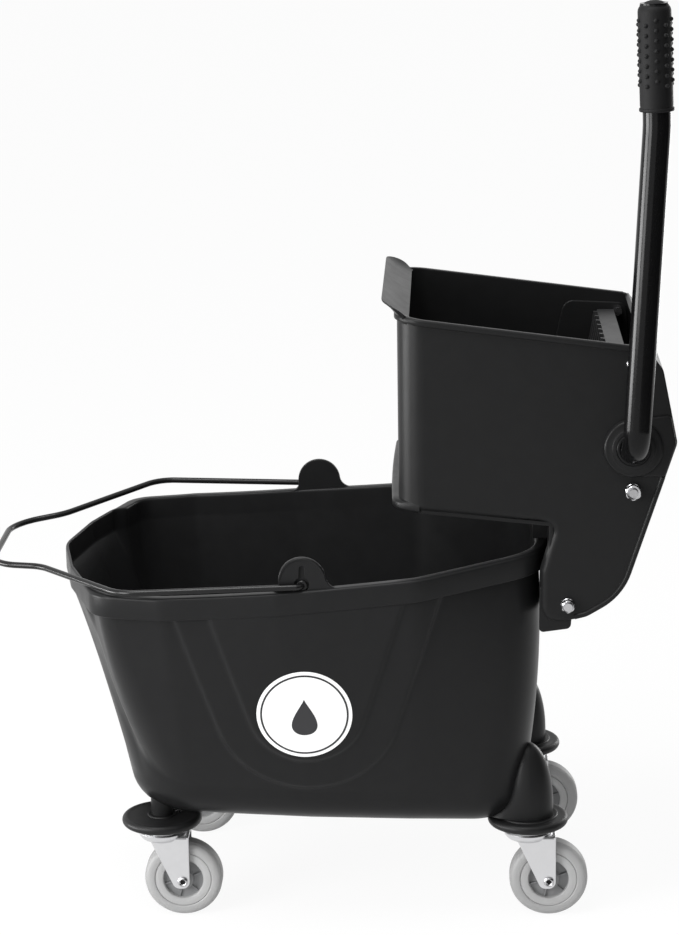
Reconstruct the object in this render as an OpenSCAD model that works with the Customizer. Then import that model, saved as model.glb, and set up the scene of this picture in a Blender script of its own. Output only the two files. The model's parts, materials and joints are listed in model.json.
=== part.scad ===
// Mop bucket on four swivel casters, with a side press wringer hooked on its rear end.
// Millimetres. +X runs to the wringer end, +Y to the right-hand side, +Z up from the floor.

/* [Bucket] */
// Reach of the rim's front end from the middle of the wheelbase
rim_front = 277; // [260:1:300]
// Reach of the rim's rear end from the middle of the wheelbase
rim_rear = 197; // [190:1:206]
// Half width of the rim at its widest
rim_half = 194; // [186:1:204]
// Height of the rim above the floor along its front half
rim_z = 347; // [325:1:370]
// How much higher the rim stands at the rear end
rim_rise = 26; // [12:1:32]
// Distance from the middle of the wheelbase forward to where the rim starts to rise
rise_from = 184; // [160:1:200]
// How late the rim's rise comes: at 1 it is straight, above that it starts gently
rise_lag = 1.5; // [1:0.05:2]
// Height of the turned-out rim band
rim_band = 22; // [16:1:28]
// How far the rim band stands out from the wall
rim_over = 8; // [6:0.5:9]
// Thickness of the rim band's turned-down skirt
band_t = 3; // [2.5:0.5:4]
// Thickness of the bucket's wall
bucket_wall = 4; // [3:0.5:5]
// Height of the underside above the floor
belly_z = 104; // [102:1:112]
// Radius of the round lower edge
belly_r = 36; // [30:1:42]
// Reach of the body's front just above that round edge
belly_front = 225; // [215:1:235]
// Reach of the body's rear just above that round edge
belly_rear = 176; // [170:1:182]
// Half width of the body just above that round edge
belly_half = 150; // [144:1:160]
// Outward bow of the walls at half height
wall_bow = 6; // [3:0.5:8]

/* [Bail ears] */
// Distance of the ears forward of the middle of the wheelbase
ear_x = 33; // [26:1:60]
// Length of an ear along the rim
ear_w = 46; // [40:1:56]
// Height of an ear above the rim
ear_h = 38; // [34:1:44]
// Thickness of an ear
ear_t = 5; // [4:0.5:6]
// Radius of an ear's upper corners
ear_r = 22; // [12:1:22]
// Radius of the round end of the keyhole
keyhole_r = 6.5; // [5.5:0.1:8]
// Width of the keyhole's slot
keyhole_slot = 8; // [7:0.2:9]
// Height of the keyhole's slot above the round end
keyhole_rise = 14; // [12:1:18]

/* [Bail] */
// Radius of the bail wire
wire_r = 3; // [2.5:0.1:3.4]
// Reach of the bail beyond the front of the rim
bail_reach = 65; // [55:1:80]
// Angle by which the resting bail slopes down to its hand end, along the rim
bail_tilt = 2; // [0:0.5:2.5]
// Half width of the hand end of the bail
bail_hand = 72; // [64:1:80]
// Distance of the bail's bends behind the front of the rim
bail_bend = 74; // [66:1:84]
// Half width of the bail where its slants end, just ahead of the rim
bail_neck = 88; // [84:1:96]
// Bend radius of the bail's long bends
bail_r = 38; // [25:1:42]
// Bend radius at the pivot ends
bail_end_r = 6; // [5:0.5:7]

/* [Casters] */
// Distance of the swivel axes from the middle of the wheelbase
caster_x = 178.5; // [174:0.5:184]
// Distance of the swivel axes from the centre plane
caster_y = 107.5; // [102:0.5:112]
// Distance of the wheel axle behind its swivel axis
trail = 20; // [16:0.5:24]
// Wheel radius
wheel_r = 38; // [34:0.5:38.5]
// Wheel width
wheel_w = 24; // [20:0.5:26]
// Radius of the hub inside the tyre
hub_r = 28; // [24:0.5:30]
// Radius of the raised hub boss
boss_r = 19; // [15:0.5:20]
// Radius of the wheel axle
axle_bolt_r = 4; // [3.5:0.1:4.5]
// Radius of the plain bush in the hub
bush_r = 7; // [6:0.1:8]
// Thickness of the fork's sheet
fork_t = 2.5; // [2:0.1:3]
// Radius of the swivel race on top of the fork
race_r = 24; // [22:0.5:26]
// Height of the swivel race
race_h = 6; // [5:0.5:6.5]
// Radius of the stem that holds a caster
stem_r = 5.5; // [5:0.1:6]
// Length of the stem above the bumper
stem_h = 10; // [8:1:11]
// Radius of the bumper discs
bumper_r = 39; // [36:0.5:42]
// Thickness of the bumper discs
bumper_t = 10; // [8:0.5:12]
// Radius of the posts that stand on the front bumpers
post_r = 10.5; // [9:0.5:13]
// Height of the front posts
post_h = 48; // [46:1:52]
// Radius of the round housings that stand on the rear bumpers
pod_r = 24.5; // [22:0.5:27]
// Height of the rear housings
pod_h = 72; // [64:1:80]

/* [Wringer] */
// Half width of the wringer over its side walls
wringer_half = 135; // [131:1:137]
// Thickness of the wringer's walls
wringer_wall = 4; // [3:0.5:5]
// Reach of the basket's front wall ahead of the bucket's rear end
basket_front = 141; // [134:1:148]
// Height of the basket's rim at the front, above the bucket's rear rim
basket_top_front = 227; // [220:1:240]
// Height of the basket's rim at the back, above the bucket's rear rim
basket_top_back = 197; // [192:1:206]
// Reach of the basket's top behind the bucket's rear end
basket_back = 93; // [90:1:98]
// Reach of the housing at its widest, behind the bucket's rear end
tail_x = 119; // [116:1:124]
// Height of the basket's floor at the front, above the bucket's rear rim
floor_front = 41; // [38:1:46]
// Height of the basket's floor at the back, above the bucket's rear rim
floor_back = 26; // [24:1:28]
// Reach of the housing's heel behind the bucket's rear end
heel_x = 70; // [68:1:80]
// Depth of the housing's heel below the bucket's rear rim
heel_drop = 42; // [24:1:46]
// Reach of the housing's toe behind the bucket's rear end
toe_x = 36; // [34:1:44]
// Depth of the housing's toe below the bucket's rear rim
toe_drop = 62; // [60:1:66]
// Depth of the skirt below the bucket's rear rim
skirt_drop = 73; // [70:1:78]
// How far the skirt's cheeks reach past the bucket's rear end
cheek = 8.5; // [4:0.5:10]
// Reach of the flared lip ahead of the basket's front wall
lip_reach = 14; // [10:1:18]
// Rise of the flared lip
lip_rise = 14; // [10:1:18]
// Radius of the basket's upright front corners
basket_r = 26; // [18:1:32]
// Height of the band round the basket's rim
top_band = 7; // [6:0.5:10]
// Height of the flange round the basket's floor
foot_band = 9; // [7:0.5:12]
// How far that flange stands out in front of the basket
foot_out = 6; // [4:0.5:8]
// How far bands and beads stand out from the side walls
bead_out = 3; // [2:0.5:5]
// Width of the bead along the housing's edge
bead_w = 7; // [5:0.5:9]
// Width of a drain slot
drain_w = 6; // [4:0.5:8]
// Spacing of the drain slots
drain_pitch = 14; // [12:0.5:18]
// Thickness of the ribs that rest on the bucket's rim
seat_rib = 5; // [4:0.5:7]

/* [Lever] */
// Distance of the lever's axle behind the bucket's rear end
axle_x = 78; // [76:0.5:80]
// Height of the lever's axle above the bucket's rear rim
axle_z = 102; // [100:0.5:104]
// Outer radius of the lever's tube
tube_r = 12.7; // [11.5:0.1:13]
// Wall of the lever's tube
tube_wall = 1.6; // [1.2:0.1:2.5]
// Bend radius of the lever's elbow
elbow_r = 27; // [24:1:29]
// Length of the lever from the axle to its upper bend
lever_len = 305; // [280:1:330]
// Length of the lever above its upper bend
lever_top = 108; // [100:1:125]
// Backward lean of the lever at rest, in degrees
lever_lean = 2.9; // [1:0.1:4]
// Bend at the top of the lever, in degrees
lever_bend = 5; // [3:0.1:7]
// Bend radius at the top of the lever
lever_bend_r = 160; // [120:5:220]
// Outer radius of the grip
grip_r = 15.6; // [14.8:0.1:16.5]
// Length of the grip
grip_len = 98; // [85:1:98]
// Height of the grip's nubs
nub_h = 0.8; // [0.5:0.1:1.2]
// Number of nub rings along the grip
nub_rings = 8; // [5:1:10]
// Radius of the raised boss round the axle
axle_boss_r = 29; // [26:0.5:31]
// How far the axle boss stands out from the side wall
axle_boss_out = 6; // [5:0.5:7]
// Wall of the axle's bush
bush_wall = 2.5; // [2:0.1:3]

/* [Press] */
// Gear module
gear_module = 2; // [1.96:0.01:2.02]
// Thickness of the gears
gear_t = 8; // [6:0.5:9]
// Play between gear teeth
gear_play = 0.3; // [0.2:0.05:0.4]
// Slope of the line from the press plate's pivot to the idler, in degrees
pivot_slope = 17; // [15:0.5:18]
// Thickness of the press plate
plate_t = 5; // [4:0.5:6]
// Lean of the press plate's upper edge, in degrees
plate_lean = 7; // [5:0.5:9]
// Bend radius of the press plate
plate_bend = 316; // [300:2:340]
// Height of the press plate along its curve
plate_len = 150; // [144:1:152]
// Depth of the ribs on the plate's face
rib_h = 4; // [3:0.5:5]
// Thickness of the ribs on the plate's face
rib_t = 4; // [3:0.5:5]
// Spacing of the ribs on the plate's face
rib_pitch = 22; // [18:1:26]
// Radius of the press plate's pivot rod
pivot_r = 4; // [3.5:0.1:4.5]
// Radius of the tie rods and of the idler shaft
rod_r = 4; // [3.5:0.1:4.5]
// Distance across the flats of the nuts
nut_af = 12; // [11.5:0.5:15]
// Height of the nuts
nut_h = 6.5; // [5.5:0.5:7.5]
// Radius of the washers under the nuts
washer_r = 7.5; // [7.5:0.1:10]
// Thickness of the washers
washer_t = 1.5; // [1:0.1:2]

/* [Hidden] */
$fn = 64;

// Clearances
seat_gap = 0.3;    // pieces that rest on one another
run_gap = 0.08;    // shafts in their bores
side_gap = 1.2;    // moving pieces beside one another
overrun = 5;       // how far a cut runs past its solid
bend_lap = 0.4;    // how far a straight run enters a bend
bend_swell = 0.04; // how much thicker a bend is

// Counts of teeth
pinion_teeth = 24;
idler_teeth = 17;
quadrant_teeth = 57;
quadrant_span = 5; // teeth drawn beyond each end of the working stretch
pressure_angle = 20;
flank_steps = 4;

// Rounding of the bucket
rim_points = 56;     // directions round each outline
split_len = 32;      // length of the pieces that its straight stretches are split into
edge_steps = 4;      // steps round the lower edge
rim_lip_r = 3;       // radius of the rim's top edge
arc_steps = 6;       // steps round an outline's corner

// Round stretches of the bucket's rim and belly: place along, place across and radius.
// Along is a share of the reach to the front or the rear, the others of the half width.
rim_nose_share = 0.41;
rim_tail_share = 0.32;
rim_tail_y_share = 0.438;
rim_shares = [[-0.686, 0.474, 0.361], [-0.578, 0.773, 0.222], [-0.217, 0.773, 0.227], [0.305, 0.66, 0.289]];
belly_nose_share = 0.533;
belly_tail_share = 0.36;
belly_tail_y_share = 0.6;
belly_shares = [[-0.622, 0.5, 0.467], [-0.622, 0.633, 0.333], [-0.133, 0.667, 0.333], [0.341, 0.653, 0.333]];
wall_shares = [0, 0.2, 0.4, 0.6, 0.8, 1];

// Derived places in the bucket's own frame, whose X starts midway between the casters
bumper_top = belly_z - 3 * seat_gap;
bumper_z = bumper_top - bumper_t;
race_z = bumper_z - race_h;
race_lip = race_h / 5;
cup_z = race_z - race_h + seat_gap;
fork_top = race_z - seat_gap;
fork_half = wheel_w / 2 + 2.4 * side_gap;
rear_rim = rim_z + rim_rise;
ear_y = rim_half - rim_over - bucket_wall - seat_gap;
bail_z = rim_height(-ear_x) + wire_r + 4 * seat_gap;
keyhole_z = bail_z - wire_r - seat_gap + keyhole_r;
bail_y = ear_y + ear_t + wire_r + side_gap;
wringer_in = wringer_half - wringer_wall;
saddle_x = seat_gap;

// Gear train: pinion on the lever's axle, idler below it, quadrant on the press plate
pinion_r = gear_module * pinion_teeth / 2;
idler_r = gear_module * idler_teeth / 2;
quadrant_r = gear_module * quadrant_teeth / 2;
axle_at = [axle_x, axle_z];
idler_at = axle_at - [0, pinion_r + idler_r];
pivot_at = idler_at - (idler_r + quadrant_r) * [cos(pivot_slope), sin(pivot_slope)];
gear_y = wringer_in - side_gap - gear_t;
plate_half = gear_y;
lever_max = 88;
quadrant_turn = lever_max * pinion_teeth / quadrant_teeth;
boss_in = wringer_in - gear_y - gear_t - side_gap / 2;
plate_base = pivot_at + [-plate_t / 2, pivot_r];
knuckle_r = 2.2 * pivot_r;
plate_sweep = plate_len / plate_bend * 180 / PI;
rib_foot_share = 0.12;
boss_under_idler = axle_boss_out / 2;
// Ribs under the basket's floor that rest on the bucket's rim, across the half width
seat_rib_shares = [0.2, 0.6];

// Angle of a tooth's middle on each gear at rest, so that the three are in mesh
pinion_phase = -90;
idler_phase = 90 + 180 / idler_teeth;
idler_pitch = 360 / idler_teeth;
idler_turn = 180 + pivot_slope - idler_phase;
idler_offset = idler_turn - idler_pitch * floor(idler_turn / idler_pitch);
quadrant_phase = pivot_slope + idler_offset * idler_teeth / quadrant_teeth + 180 / quadrant_teeth;

// Lever: along the axle from the far end cap, up at the elbow, and over the slight upper bend
lever_y = wringer_half + axle_boss_out + bush_wall + side_gap + elbow_r;
lever_knee = [axle_x + lever_len * sin(lever_lean), -lever_y, axle_z + lever_len * cos(lever_lean)];
lever_tip = lever_knee + lever_top * [sin(lever_lean - lever_bend), 0, cos(lever_lean - lever_bend)];
lever_far = wringer_half + axle_boss_out + bush_wall;
lever_path = [[axle_x, lever_far, axle_z], [axle_x, -lever_y, axle_z], lever_knee, lever_tip];
lever_bends = [0, elbow_r, lever_bend_r, 0];
lever_bore = [lever_path[0] + [0, overrun, 0], lever_path[1], lever_knee,
  lever_tip + overrun * unit(lever_tip - lever_knee)];

// Housing outline, from the basket's front top corner round by the back
tail_z = axle_z + wringer_wall;
toe_slope = atan2(skirt_drop - toe_drop, toe_x + cheek);
lower_rod_at = [toe_x / 2,
  (bead_w + washer_r + side_gap) / cos(toe_slope) - toe_drop - toe_x / 2 * tan(toe_slope)];
stop_at = [axle_x, basket_top_back - top_band - washer_r - side_gap];
front_top = [-basket_front, basket_top_front];
front_foot = [-basket_front, floor_front];
back_points = [[toe_x, -toe_drop], [heel_x, -heel_drop], [tail_x, tail_z],
  [basket_back + 3 * wringer_wall, basket_top_back - 3 * top_band],
  [basket_back - wringer_wall, basket_top_back]];
back_rounds = [6 * wringer_wall, 6 * wringer_wall, 3 * wringer_wall, 4 * wringer_wall, 3 * wringer_wall];
side_points = concat([front_top, front_foot, [-cheek, floor_back + wringer_wall],
  [saddle_x + wringer_wall, floor_back], [-cheek, -skirt_drop / 4], [-cheek, -skirt_drop]], back_points);
side_rounds = concat([top_band / 4, 3 * wringer_wall, wringer_wall, 2 * wringer_wall, wringer_wall,
  2 * wringer_wall], back_rounds);

// The whole part stands with the middle of its box over the origin
box_front = rim_front + bail_reach + wire_r;
box_rear = rim_rear + side_extent();
frame_x = (box_front - box_rear) / 2;

caster_places = [["front_left", -1, -1], ["front_right", -1, 1],
  ["rear_left", 1, -1], ["rear_right", 1, 1]];

// Vectors, arcs and outlines
function unit(v) = v / norm(v);
function turned(v, a) = [v.x * cos(a) - v.y * sin(a), v.x * sin(a) + v.y * cos(a)];
function cross2(a, b) = a.x * b.y - a.y * b.x;
function smooth(t) = let (s = min(1, max(0, t))) s * s * (3 - 2 * s);
function mix(a, b, s) = a * (1 - s) + b * s;

function corner_centre(a, p, b, r) = let (u = unit(a - p), v = unit(b - p), half = acos(u * v) / 2)
  p + unit(u + v) * r / sin(half);
function corner_points(a, p, b, r) =
  let (u = unit(a - p), v = unit(b - p), half = acos(u * v) / 2, centre = corner_centre(a, p, b, r),
    first = p + u * r / tan(half) - centre, sweep = (180 - 2 * half) * sign(cross2(p - a, b - p)))
  [for (i = [0:arc_steps]) centre + turned(first, sweep * i / arc_steps)];
function rounded(points, rounds) = let (n = len(points))
  [for (i = [0:n - 1])
    each corner_points(points[(i + n - 1) % n], points[i], points[(i + 1) % n], rounds[i])];
// Widest reach of the housing, at the round of its tail
function side_extent() = back_rounds[2]
  + corner_centre(back_points[1], back_points[2], back_points[3], back_rounds[2]).x;

// A strip of even thickness to the left of an open path
function left_of(a, b) = let (d = unit(b - a)) [-d.y, d.x];
function path_normal(path, i) = let (n = len(path), p = left_of(path[max(i - 1, 0)], path[max(i, 1)]),
  q = left_of(path[min(i, n - 2)], path[min(i + 1, n - 1)])) (p + q) / (1 + p * q);
function strip(path, t) = concat(path,
  [for (i = [len(path) - 1:-1:0]) path[i] + t * path_normal(path, i)]);
function rounded_path(path, rounds) = let (n = len(path)) concat([path[0]],
  [for (i = [1:n - 2]) each corner_points(path[i - 1], path[i], path[i + 1], rounds[i])], [path[n - 1]]);

// Bucket outlines as circles [x, y, radius], blended from the belly to the rim
function along(share, front, rear) = share < 0 ? share * front : share * rear;
function half_circles(nose, tail, tail_y, shares, front, rear, half) = concat(
  [[nose * half - front, 0, nose * half]],
  [for (s = shares) [along(s.x, front, rear), s.y * half, s[2] * half]],
  [[rear - tail * half, tail_y * half, tail * half]]);
rim_circles = half_circles(rim_nose_share, rim_tail_share, rim_tail_y_share, rim_shares,
  rim_front, rim_rear, rim_half);
belly_circles = half_circles(belly_nose_share, belly_tail_share, belly_tail_y_share, belly_shares,
  belly_front, belly_rear, belly_half);
function outline_point(circles, grow, dir) =
  let (side = dir.y < 0 ? -1 : 1, d = [dir.x, side * dir.y],
    reach = [for (c = circles) c.x * d.x + c.y * d.y + c[2]],
    best = [for (i = [0:len(reach) - 1]) if (reach[i] == max(reach)) circles[i]][0],
    p = [best.x, best.y] + (best[2] + grow) * d)
  [p.x, side * p.y];
ring_dirs = [for (i = [0:rim_points - 1]) let (a = 360 * (i + 0.5) / rim_points) [cos(a), sin(a)]];
function plain_outline(circles, grow) = [for (d = ring_dirs) outline_point(circles, grow, d)];
rim_plain = plain_outline(rim_circles, 0);
splits = [for (i = [0:rim_points - 1])
  max(1, round(norm(rim_plain[(i + 1) % rim_points] - rim_plain[i]) / split_len))];
// Every outline is split at the same places, so that its points join those of the next
function outline(circles, grow) = let (plain = plain_outline(circles, grow))
  [for (i = [0:rim_points - 1], k = [0:splits[i] - 1])
    mix(plain[i], plain[(i + 1) % rim_points], k / splits[i])];
function rim_height(x) = rim_z
  + rim_rise * pow(max(0, min(1, (x + rise_from) / (rim_rear + rise_from))), rise_lag);
function lofted(s) = [for (i = [0:len(rim_circles) - 1]) mix(belly_circles[i], rim_circles[i], s)];
// A ring round the lower edge, shrunk by the wall, at an angle up from the flat underside
function edge_ring(wall, a) = [for (p = outline(belly_circles, -wall - (belly_r - wall) * (1 - sin(a))))
  [p.x, p.y, belly_z + belly_r - (belly_r - wall) * cos(a)]];
// A ring part way up the wall
function wall_ring(wall, s) = [for (p = outline(lofted(s), -wall - rim_over * s + wall_bow * 4 * s * (1 - s)))
  [p.x, p.y, mix(belly_z + belly_r, rim_height(p.x) - rim_band, s)]];
// A ring on the rim band, below its top edge by drop
function band_ring(grow, drop) = [for (p = outline(rim_circles, grow)) [p.x, p.y, rim_height(p.x) - drop]];

edge_angles = [for (i = [0:edge_steps - 1]) 90 * i / edge_steps];
inner_wall = -rim_over - bucket_wall;
outer_rings = concat([for (a = edge_angles) edge_ring(0, a)], [for (s = wall_shares) wall_ring(0, s)],
  [band_ring(-rim_over, bucket_wall), band_ring(-band_t, bucket_wall), band_ring(-band_t, rim_band),
   band_ring(0, rim_band), band_ring(0, rim_lip_r), band_ring(-rim_lip_r / 3, rim_lip_r / 3),
   band_ring(-rim_lip_r, 0)]);
inner_rings = concat([band_ring(inner_wall + rim_lip_r / 3, 0), band_ring(inner_wall, rim_lip_r / 2)],
  [for (i = [len(wall_shares) - 1:-1:0]) wall_ring(bucket_wall, wall_shares[i])],
  [for (i = [edge_steps - 1:-1:0]) edge_ring(bucket_wall, edge_angles[i])]);
cavity_rings = concat([for (a = edge_angles) edge_ring(bucket_wall / 2, a)],
  [for (s = wall_shares) wall_ring(bucket_wall / 2, s)]);

// A closed skin through rings of points, whose flat ends run to a point in their middle
function mean(ring) = [for (p = ring) 1] * ring / len(ring);
module skin(rings) {
  n = len(rings[0]);
  m = len(rings);
  points = concat([for (r = rings) each r], [mean(rings[0]), mean(rings[m - 1])]);
  sides = [for (k = [0:m - 2], i = [0:n - 1]) let (j = (i + 1) % n)
    each [[k * n + i, k * n + n + i, k * n + n + j], [k * n + i, k * n + n + j, k * n + j]]];
  ends = [for (i = [0:n - 1]) let (j = (i + 1) % n, top = (m - 1) * n)
    each [[i, j, m * n], [top + j, top + i, m * n + 1]]];
  polyhedron(points = points, faces = concat(sides, ends), convexity = 8);
}

// Turns an outline in X and Z into a slab from y0 to y1
module slab(y0, y1) {
  translate([0, y1, 0]) rotate([90, 0, 0]) linear_extrude(y1 - y0) children();
}
module both_sides() {
  children();
  mirror([0, 1, 0]) children();
}
// A rod along Y at a place in X and Z
module rod(at, r, y0, y1) {
  translate([at.x, y1, at.y]) rotate([90, 0, 0]) cylinder(h = y1 - y0, r = r);
}
// Places in the wringer are measured from the top of the bucket's rear rim
module on_rear_rim() {
  translate([rim_rear, 0, rear_rim]) children();
}
module placed() {
  translate([frame_x, 0, 0]) children();
}

// A round bar along a path with a bend at each inner point
module straight_bar(a, b, r) {
  d = b - a;
  translate(a) rotate([0, acos(d.z / norm(d)), atan2(d.y, d.x)]) cylinder(h = norm(d), r = r);
}
function bend_angle(a, p, b) = acos(unit(p - a) * unit(b - p));
function bend_cut(a, p, b, bend) = bend * tan(bend_angle(a, p, b) / 2);
module bend_piece(a, p, b, bend, r) {
  d = unit(p - a);
  e = unit(b - p);
  n = unit(e - (e * d) * d);
  k = cross(d, n);
  c = p - d * bend_cut(a, p, b, bend) + n * bend;
  multmatrix([[-n.x, d.x, k.x, c.x], [-n.y, d.y, k.y, c.y], [-n.z, d.z, k.z, c.z], [0, 0, 0, 1]])
    rotate_extrude(angle = bend_angle(a, p, b)) translate([bend, 0]) circle(r);
}
// Straight runs enter the bends by a lap, and the bends are a hair thicker, as bent metal is
module bent_bar(path, bends, r) {
  n = len(path);
  cuts = [for (i = [0:n - 1]) i == 0 || i == n - 1 ? 0 :
    bend_cut(path[i - 1], path[i], path[i + 1], bends[i]) - bend_lap];
  for (i = [0:n - 2]) {
    d = unit(path[i + 1] - path[i]);
    straight_bar(path[i] + d * cuts[i], path[i + 1] - d * cuts[i + 1], r);
  }
  for (i = [1:n - 2]) bend_piece(path[i - 1], path[i], path[i + 1], bends[i], r + bend_swell);
}

// Bucket
module keyhole() {
  rod([-ear_x, keyhole_z], keyhole_r, -overrun, ear_t + overrun);
  translate([-ear_x - keyhole_slot / 2, -overrun, keyhole_z])
    cube([keyhole_slot, ear_t + 2 * overrun, keyhole_rise]);
}
function brim(x) = rim_height(x - ear_x) - seat_gap;
module ear() {
  foot = rim_z - rim_band / 2;
  top = rim_z + ear_h;
  fillet = ear_r / 2;
  half = ear_w / 2;
  flare = half + 2 * fillet;
  translate([0, ear_y, 0]) difference() {
    slab(0, ear_t) translate([-ear_x, 0]) polygon(rounded(
      [[-flare, foot], [flare, foot], [flare, brim(flare)], [half, brim(half)], [half, top], [-half, top],
       [-half, brim(-half)], [-flare, brim(-flare)]],
      [rim_lip_r, rim_lip_r, rim_lip_r, fillet, ear_r, ear_r, fillet, rim_lip_r]));
    keyhole();
  }
}
// A round-topped housing that stands on a bumper
module dome(r, h) {
  foot = h / 8;
  rotate_extrude() polygon(concat([[0, 0], [r, 0]],
    [for (i = [0:arc_steps - 1]) let (a = 90 * i / arc_steps) [r * cos(a), foot + (h - foot) * sin(a)]],
    [[0, h]]));
}
module caster_posts() {
  both_sides() {
    translate([-caster_x, caster_y, bumper_top]) dome(post_r, post_h);
    translate([caster_x, caster_y, bumper_top]) dome(pod_r, pod_h);
  }
}
module bucket_shell() {
  color("#2b2d2f") difference() {
    union() {
      skin(concat(outer_rings, inner_rings));
      difference() {
        caster_posts();
        skin(cavity_rings);
      }
      both_sides() ear();
    }
    for (p = caster_places)
      translate([p[1] * caster_x, p[2] * caster_y, bumper_top - overrun])
        cylinder(h = stem_h + overrun, r = stem_r);
  }
}

// Casters
module at_caster(i) {
  translate([caster_places[i][1] * caster_x, caster_places[i][2] * caster_y, 0]) children();
}
module bumper(i) {
  edge = 0.4 * bumper_t;
  color("#1c1d1e") at_caster(i) translate([0, 0, bumper_z]) rotate_extrude()
    polygon(concat([[stem_r, 0]],
      [for (k = [0:arc_steps]) let (a = 90 * k / arc_steps - 90)
        [bumper_r - edge, edge] + edge * [cos(a), sin(a)]],
      [for (k = [0:arc_steps]) let (a = 90 * k / arc_steps)
        [bumper_r - edge, bumper_t - edge] + edge * [cos(a), sin(a)]],
      [[stem_r, bumper_t]]));
}
module stem(i) {
  head = 0.5 * race_h;
  color("#b9bcc0") at_caster(i) {
    translate([0, 0, cup_z - head - seat_gap]) cylinder(h = bumper_top + stem_h - cup_z + head, r = stem_r);
    translate([0, 0, race_z]) cylinder(h = race_h, r = race_r - 2 * race_lip);
    translate([0, 0, cup_z - head - seat_gap]) cylinder(h = head, r = 1.3 * stem_r);
  }
}
// One leg of the fork, a tapered cheek that runs down to the axle
module fork_leg() {
  leg = 2 * axle_bolt_r;
  front = 0.72 * race_r;
  top = cup_z + fork_t;
  shoulder = cup_z - race_h;
  foot = wheel_r - leg;
  polygon(rounded([[-front, top], [-front, shoulder], [trail - leg, foot], [trail + leg, foot],
    [trail + leg, shoulder], [front + axle_bolt_r, top]],
    [fork_t / 4, race_h, 0.96 * leg, 0.96 * leg, race_h, fork_t / 4]));
}
module fork(i) {
  color("#c3c6ca") at_caster(i) difference() {
    union() {
      translate([0, 0, cup_z]) cylinder(h = fork_top - cup_z, r = race_r);
      both_sides() slab(fork_half, fork_half + fork_t) fork_leg();
    }
    translate([0, 0, cup_z - overrun]) cylinder(h = race_h + 2 * overrun, r = stem_r + run_gap);
    rod([trail, wheel_r], axle_bolt_r, -wheel_w, wheel_w);
  }
}
module wheel_axle(i) {
  end = fork_half + fork_t;
  color("#d5d7da") at_caster(i) {
    rod([trail, wheel_r], axle_bolt_r, -end, end);
    both_sides() rod([trail, wheel_r], 1.6 * axle_bolt_r, end, end + fork_t);
  }
}
module at_wheel(i) {
  at_caster(i) translate([trail, 0, wheel_r]) rotate([90, 0, 0]) children();
}
module tyre(i) {
  half = wheel_w / 2;
  crown = wheel_w / 5;
  color("#8b8e90") at_wheel(i) rotate_extrude() polygon([[hub_r, -half], [wheel_r - crown, -half],
    for (k = [0:arc_steps]) let (a = 90 * k / arc_steps)
      [wheel_r - crown + crown * sin(a), -half + crown * (1 - cos(a))],
    for (k = [arc_steps:-1:0]) let (a = 90 * k / arc_steps)
      [wheel_r - crown + crown * sin(a), half - crown * (1 - cos(a))],
    [hub_r, half]]);
}
module hub(i) {
  half = wheel_w / 2;
  web = wheel_w / 8;
  step = (hub_r - boss_r) / 3;
  profile = [[bush_r, half + side_gap], [boss_r - step, half + side_gap], [boss_r, half - web],
    [boss_r + step, half - 2 * web], [hub_r - step, half - 2 * web], [hub_r, half - web / 2]];
  color("#6d7072") at_wheel(i) rotate_extrude()
    polygon(concat(profile, [for (k = [len(profile) - 1:-1:0]) [profile[k].x, -profile[k].y]]));
}
module wheel_bush(i) {
  half = wheel_w / 2 + 1.7 * side_gap;
  color("#a4a6a8") at_wheel(i) translate([0, 0, -half]) difference() {
    cylinder(h = 2 * half, r = bush_r);
    translate([0, 0, -overrun]) cylinder(h = 2 * half + 2 * overrun, r = axle_bolt_r + run_gap);
  }
}

// Bail
module bail_wire() {
  plan = [[-ear_x, ear_y - wire_r], [-ear_x, bail_y], [bail_bend - rim_front, bail_y],
    [-rim_front - bail_reach / 5, bail_neck], [-rim_front - bail_reach, bail_hand]];
  half_path = [for (p = plan) [p.x, p.y, bail_z + (p.x + ear_x) * tan(bail_tilt)]];
  path = concat(half_path, [for (k = [len(plan) - 1:-1:0]) [plan[k].x, -plan[k].y, half_path[k].z]]);
  bends = [0, bail_end_r, bail_r, bail_r, bail_r, bail_r, bail_r, bail_r, bail_end_r, 0];
  color("#26282a") union() {
    bent_bar(path, bends, wire_r);
    both_sides() rod([-ear_x, bail_z], 1.4 * wire_r, ear_y - 2.5 * wire_r, ear_y - 0.5 * wire_r);
  }
}

// Wringer
// The wringer's plan as an upright prism, with round front corners, let out or taken in at front and sides
module plan_prism(front_out, side_out) {
  front = -basket_front - front_out;
  back = tail_x + 2 * overrun;
  side = wringer_half + side_out;
  front_r = basket_r + min(front_out, side_out);
  translate([0, 0, -2 * skirt_drop]) linear_extrude(2 * skirt_drop + 2 * basket_top_front)
    polygon(rounded([[front, -side], [back, -side], [back, side], [front, side]],
      [front_r, wringer_wall, wringer_wall, front_r]));
}
module plan_ring(front_out, side_out, inset) {
  difference() {
    plan_prism(front_out, side_out);
    plan_prism(-inset, -inset);
  }
}
// What of a side outline lies in the ring of the walls
module on_walls(front_out, side_out, inset) {
  reach = wringer_half + 2 * bead_out;
  intersection() {
    slab(-reach, reach) children();
    plan_ring(front_out, side_out, inset);
  }
}
module basket_walls() {
  floor_path = [front_foot, [saddle_x, floor_back], [saddle_x, -skirt_drop + cheek]];
  reach = wringer_half - wringer_wall / 2;
  on_walls(0, 0, wringer_wall) polygon(rounded(side_points, side_rounds));
  intersection() {
    slab(-reach, reach) polygon(strip(rounded_path(floor_path, [0, wringer_wall, 0]), wringer_wall));
    plan_prism(-wringer_wall / 2, -wringer_wall / 2);
  }
  slab(-reach, reach) polygon(strip(rounded_path(back_points, back_rounds), wringer_wall));
}
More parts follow.
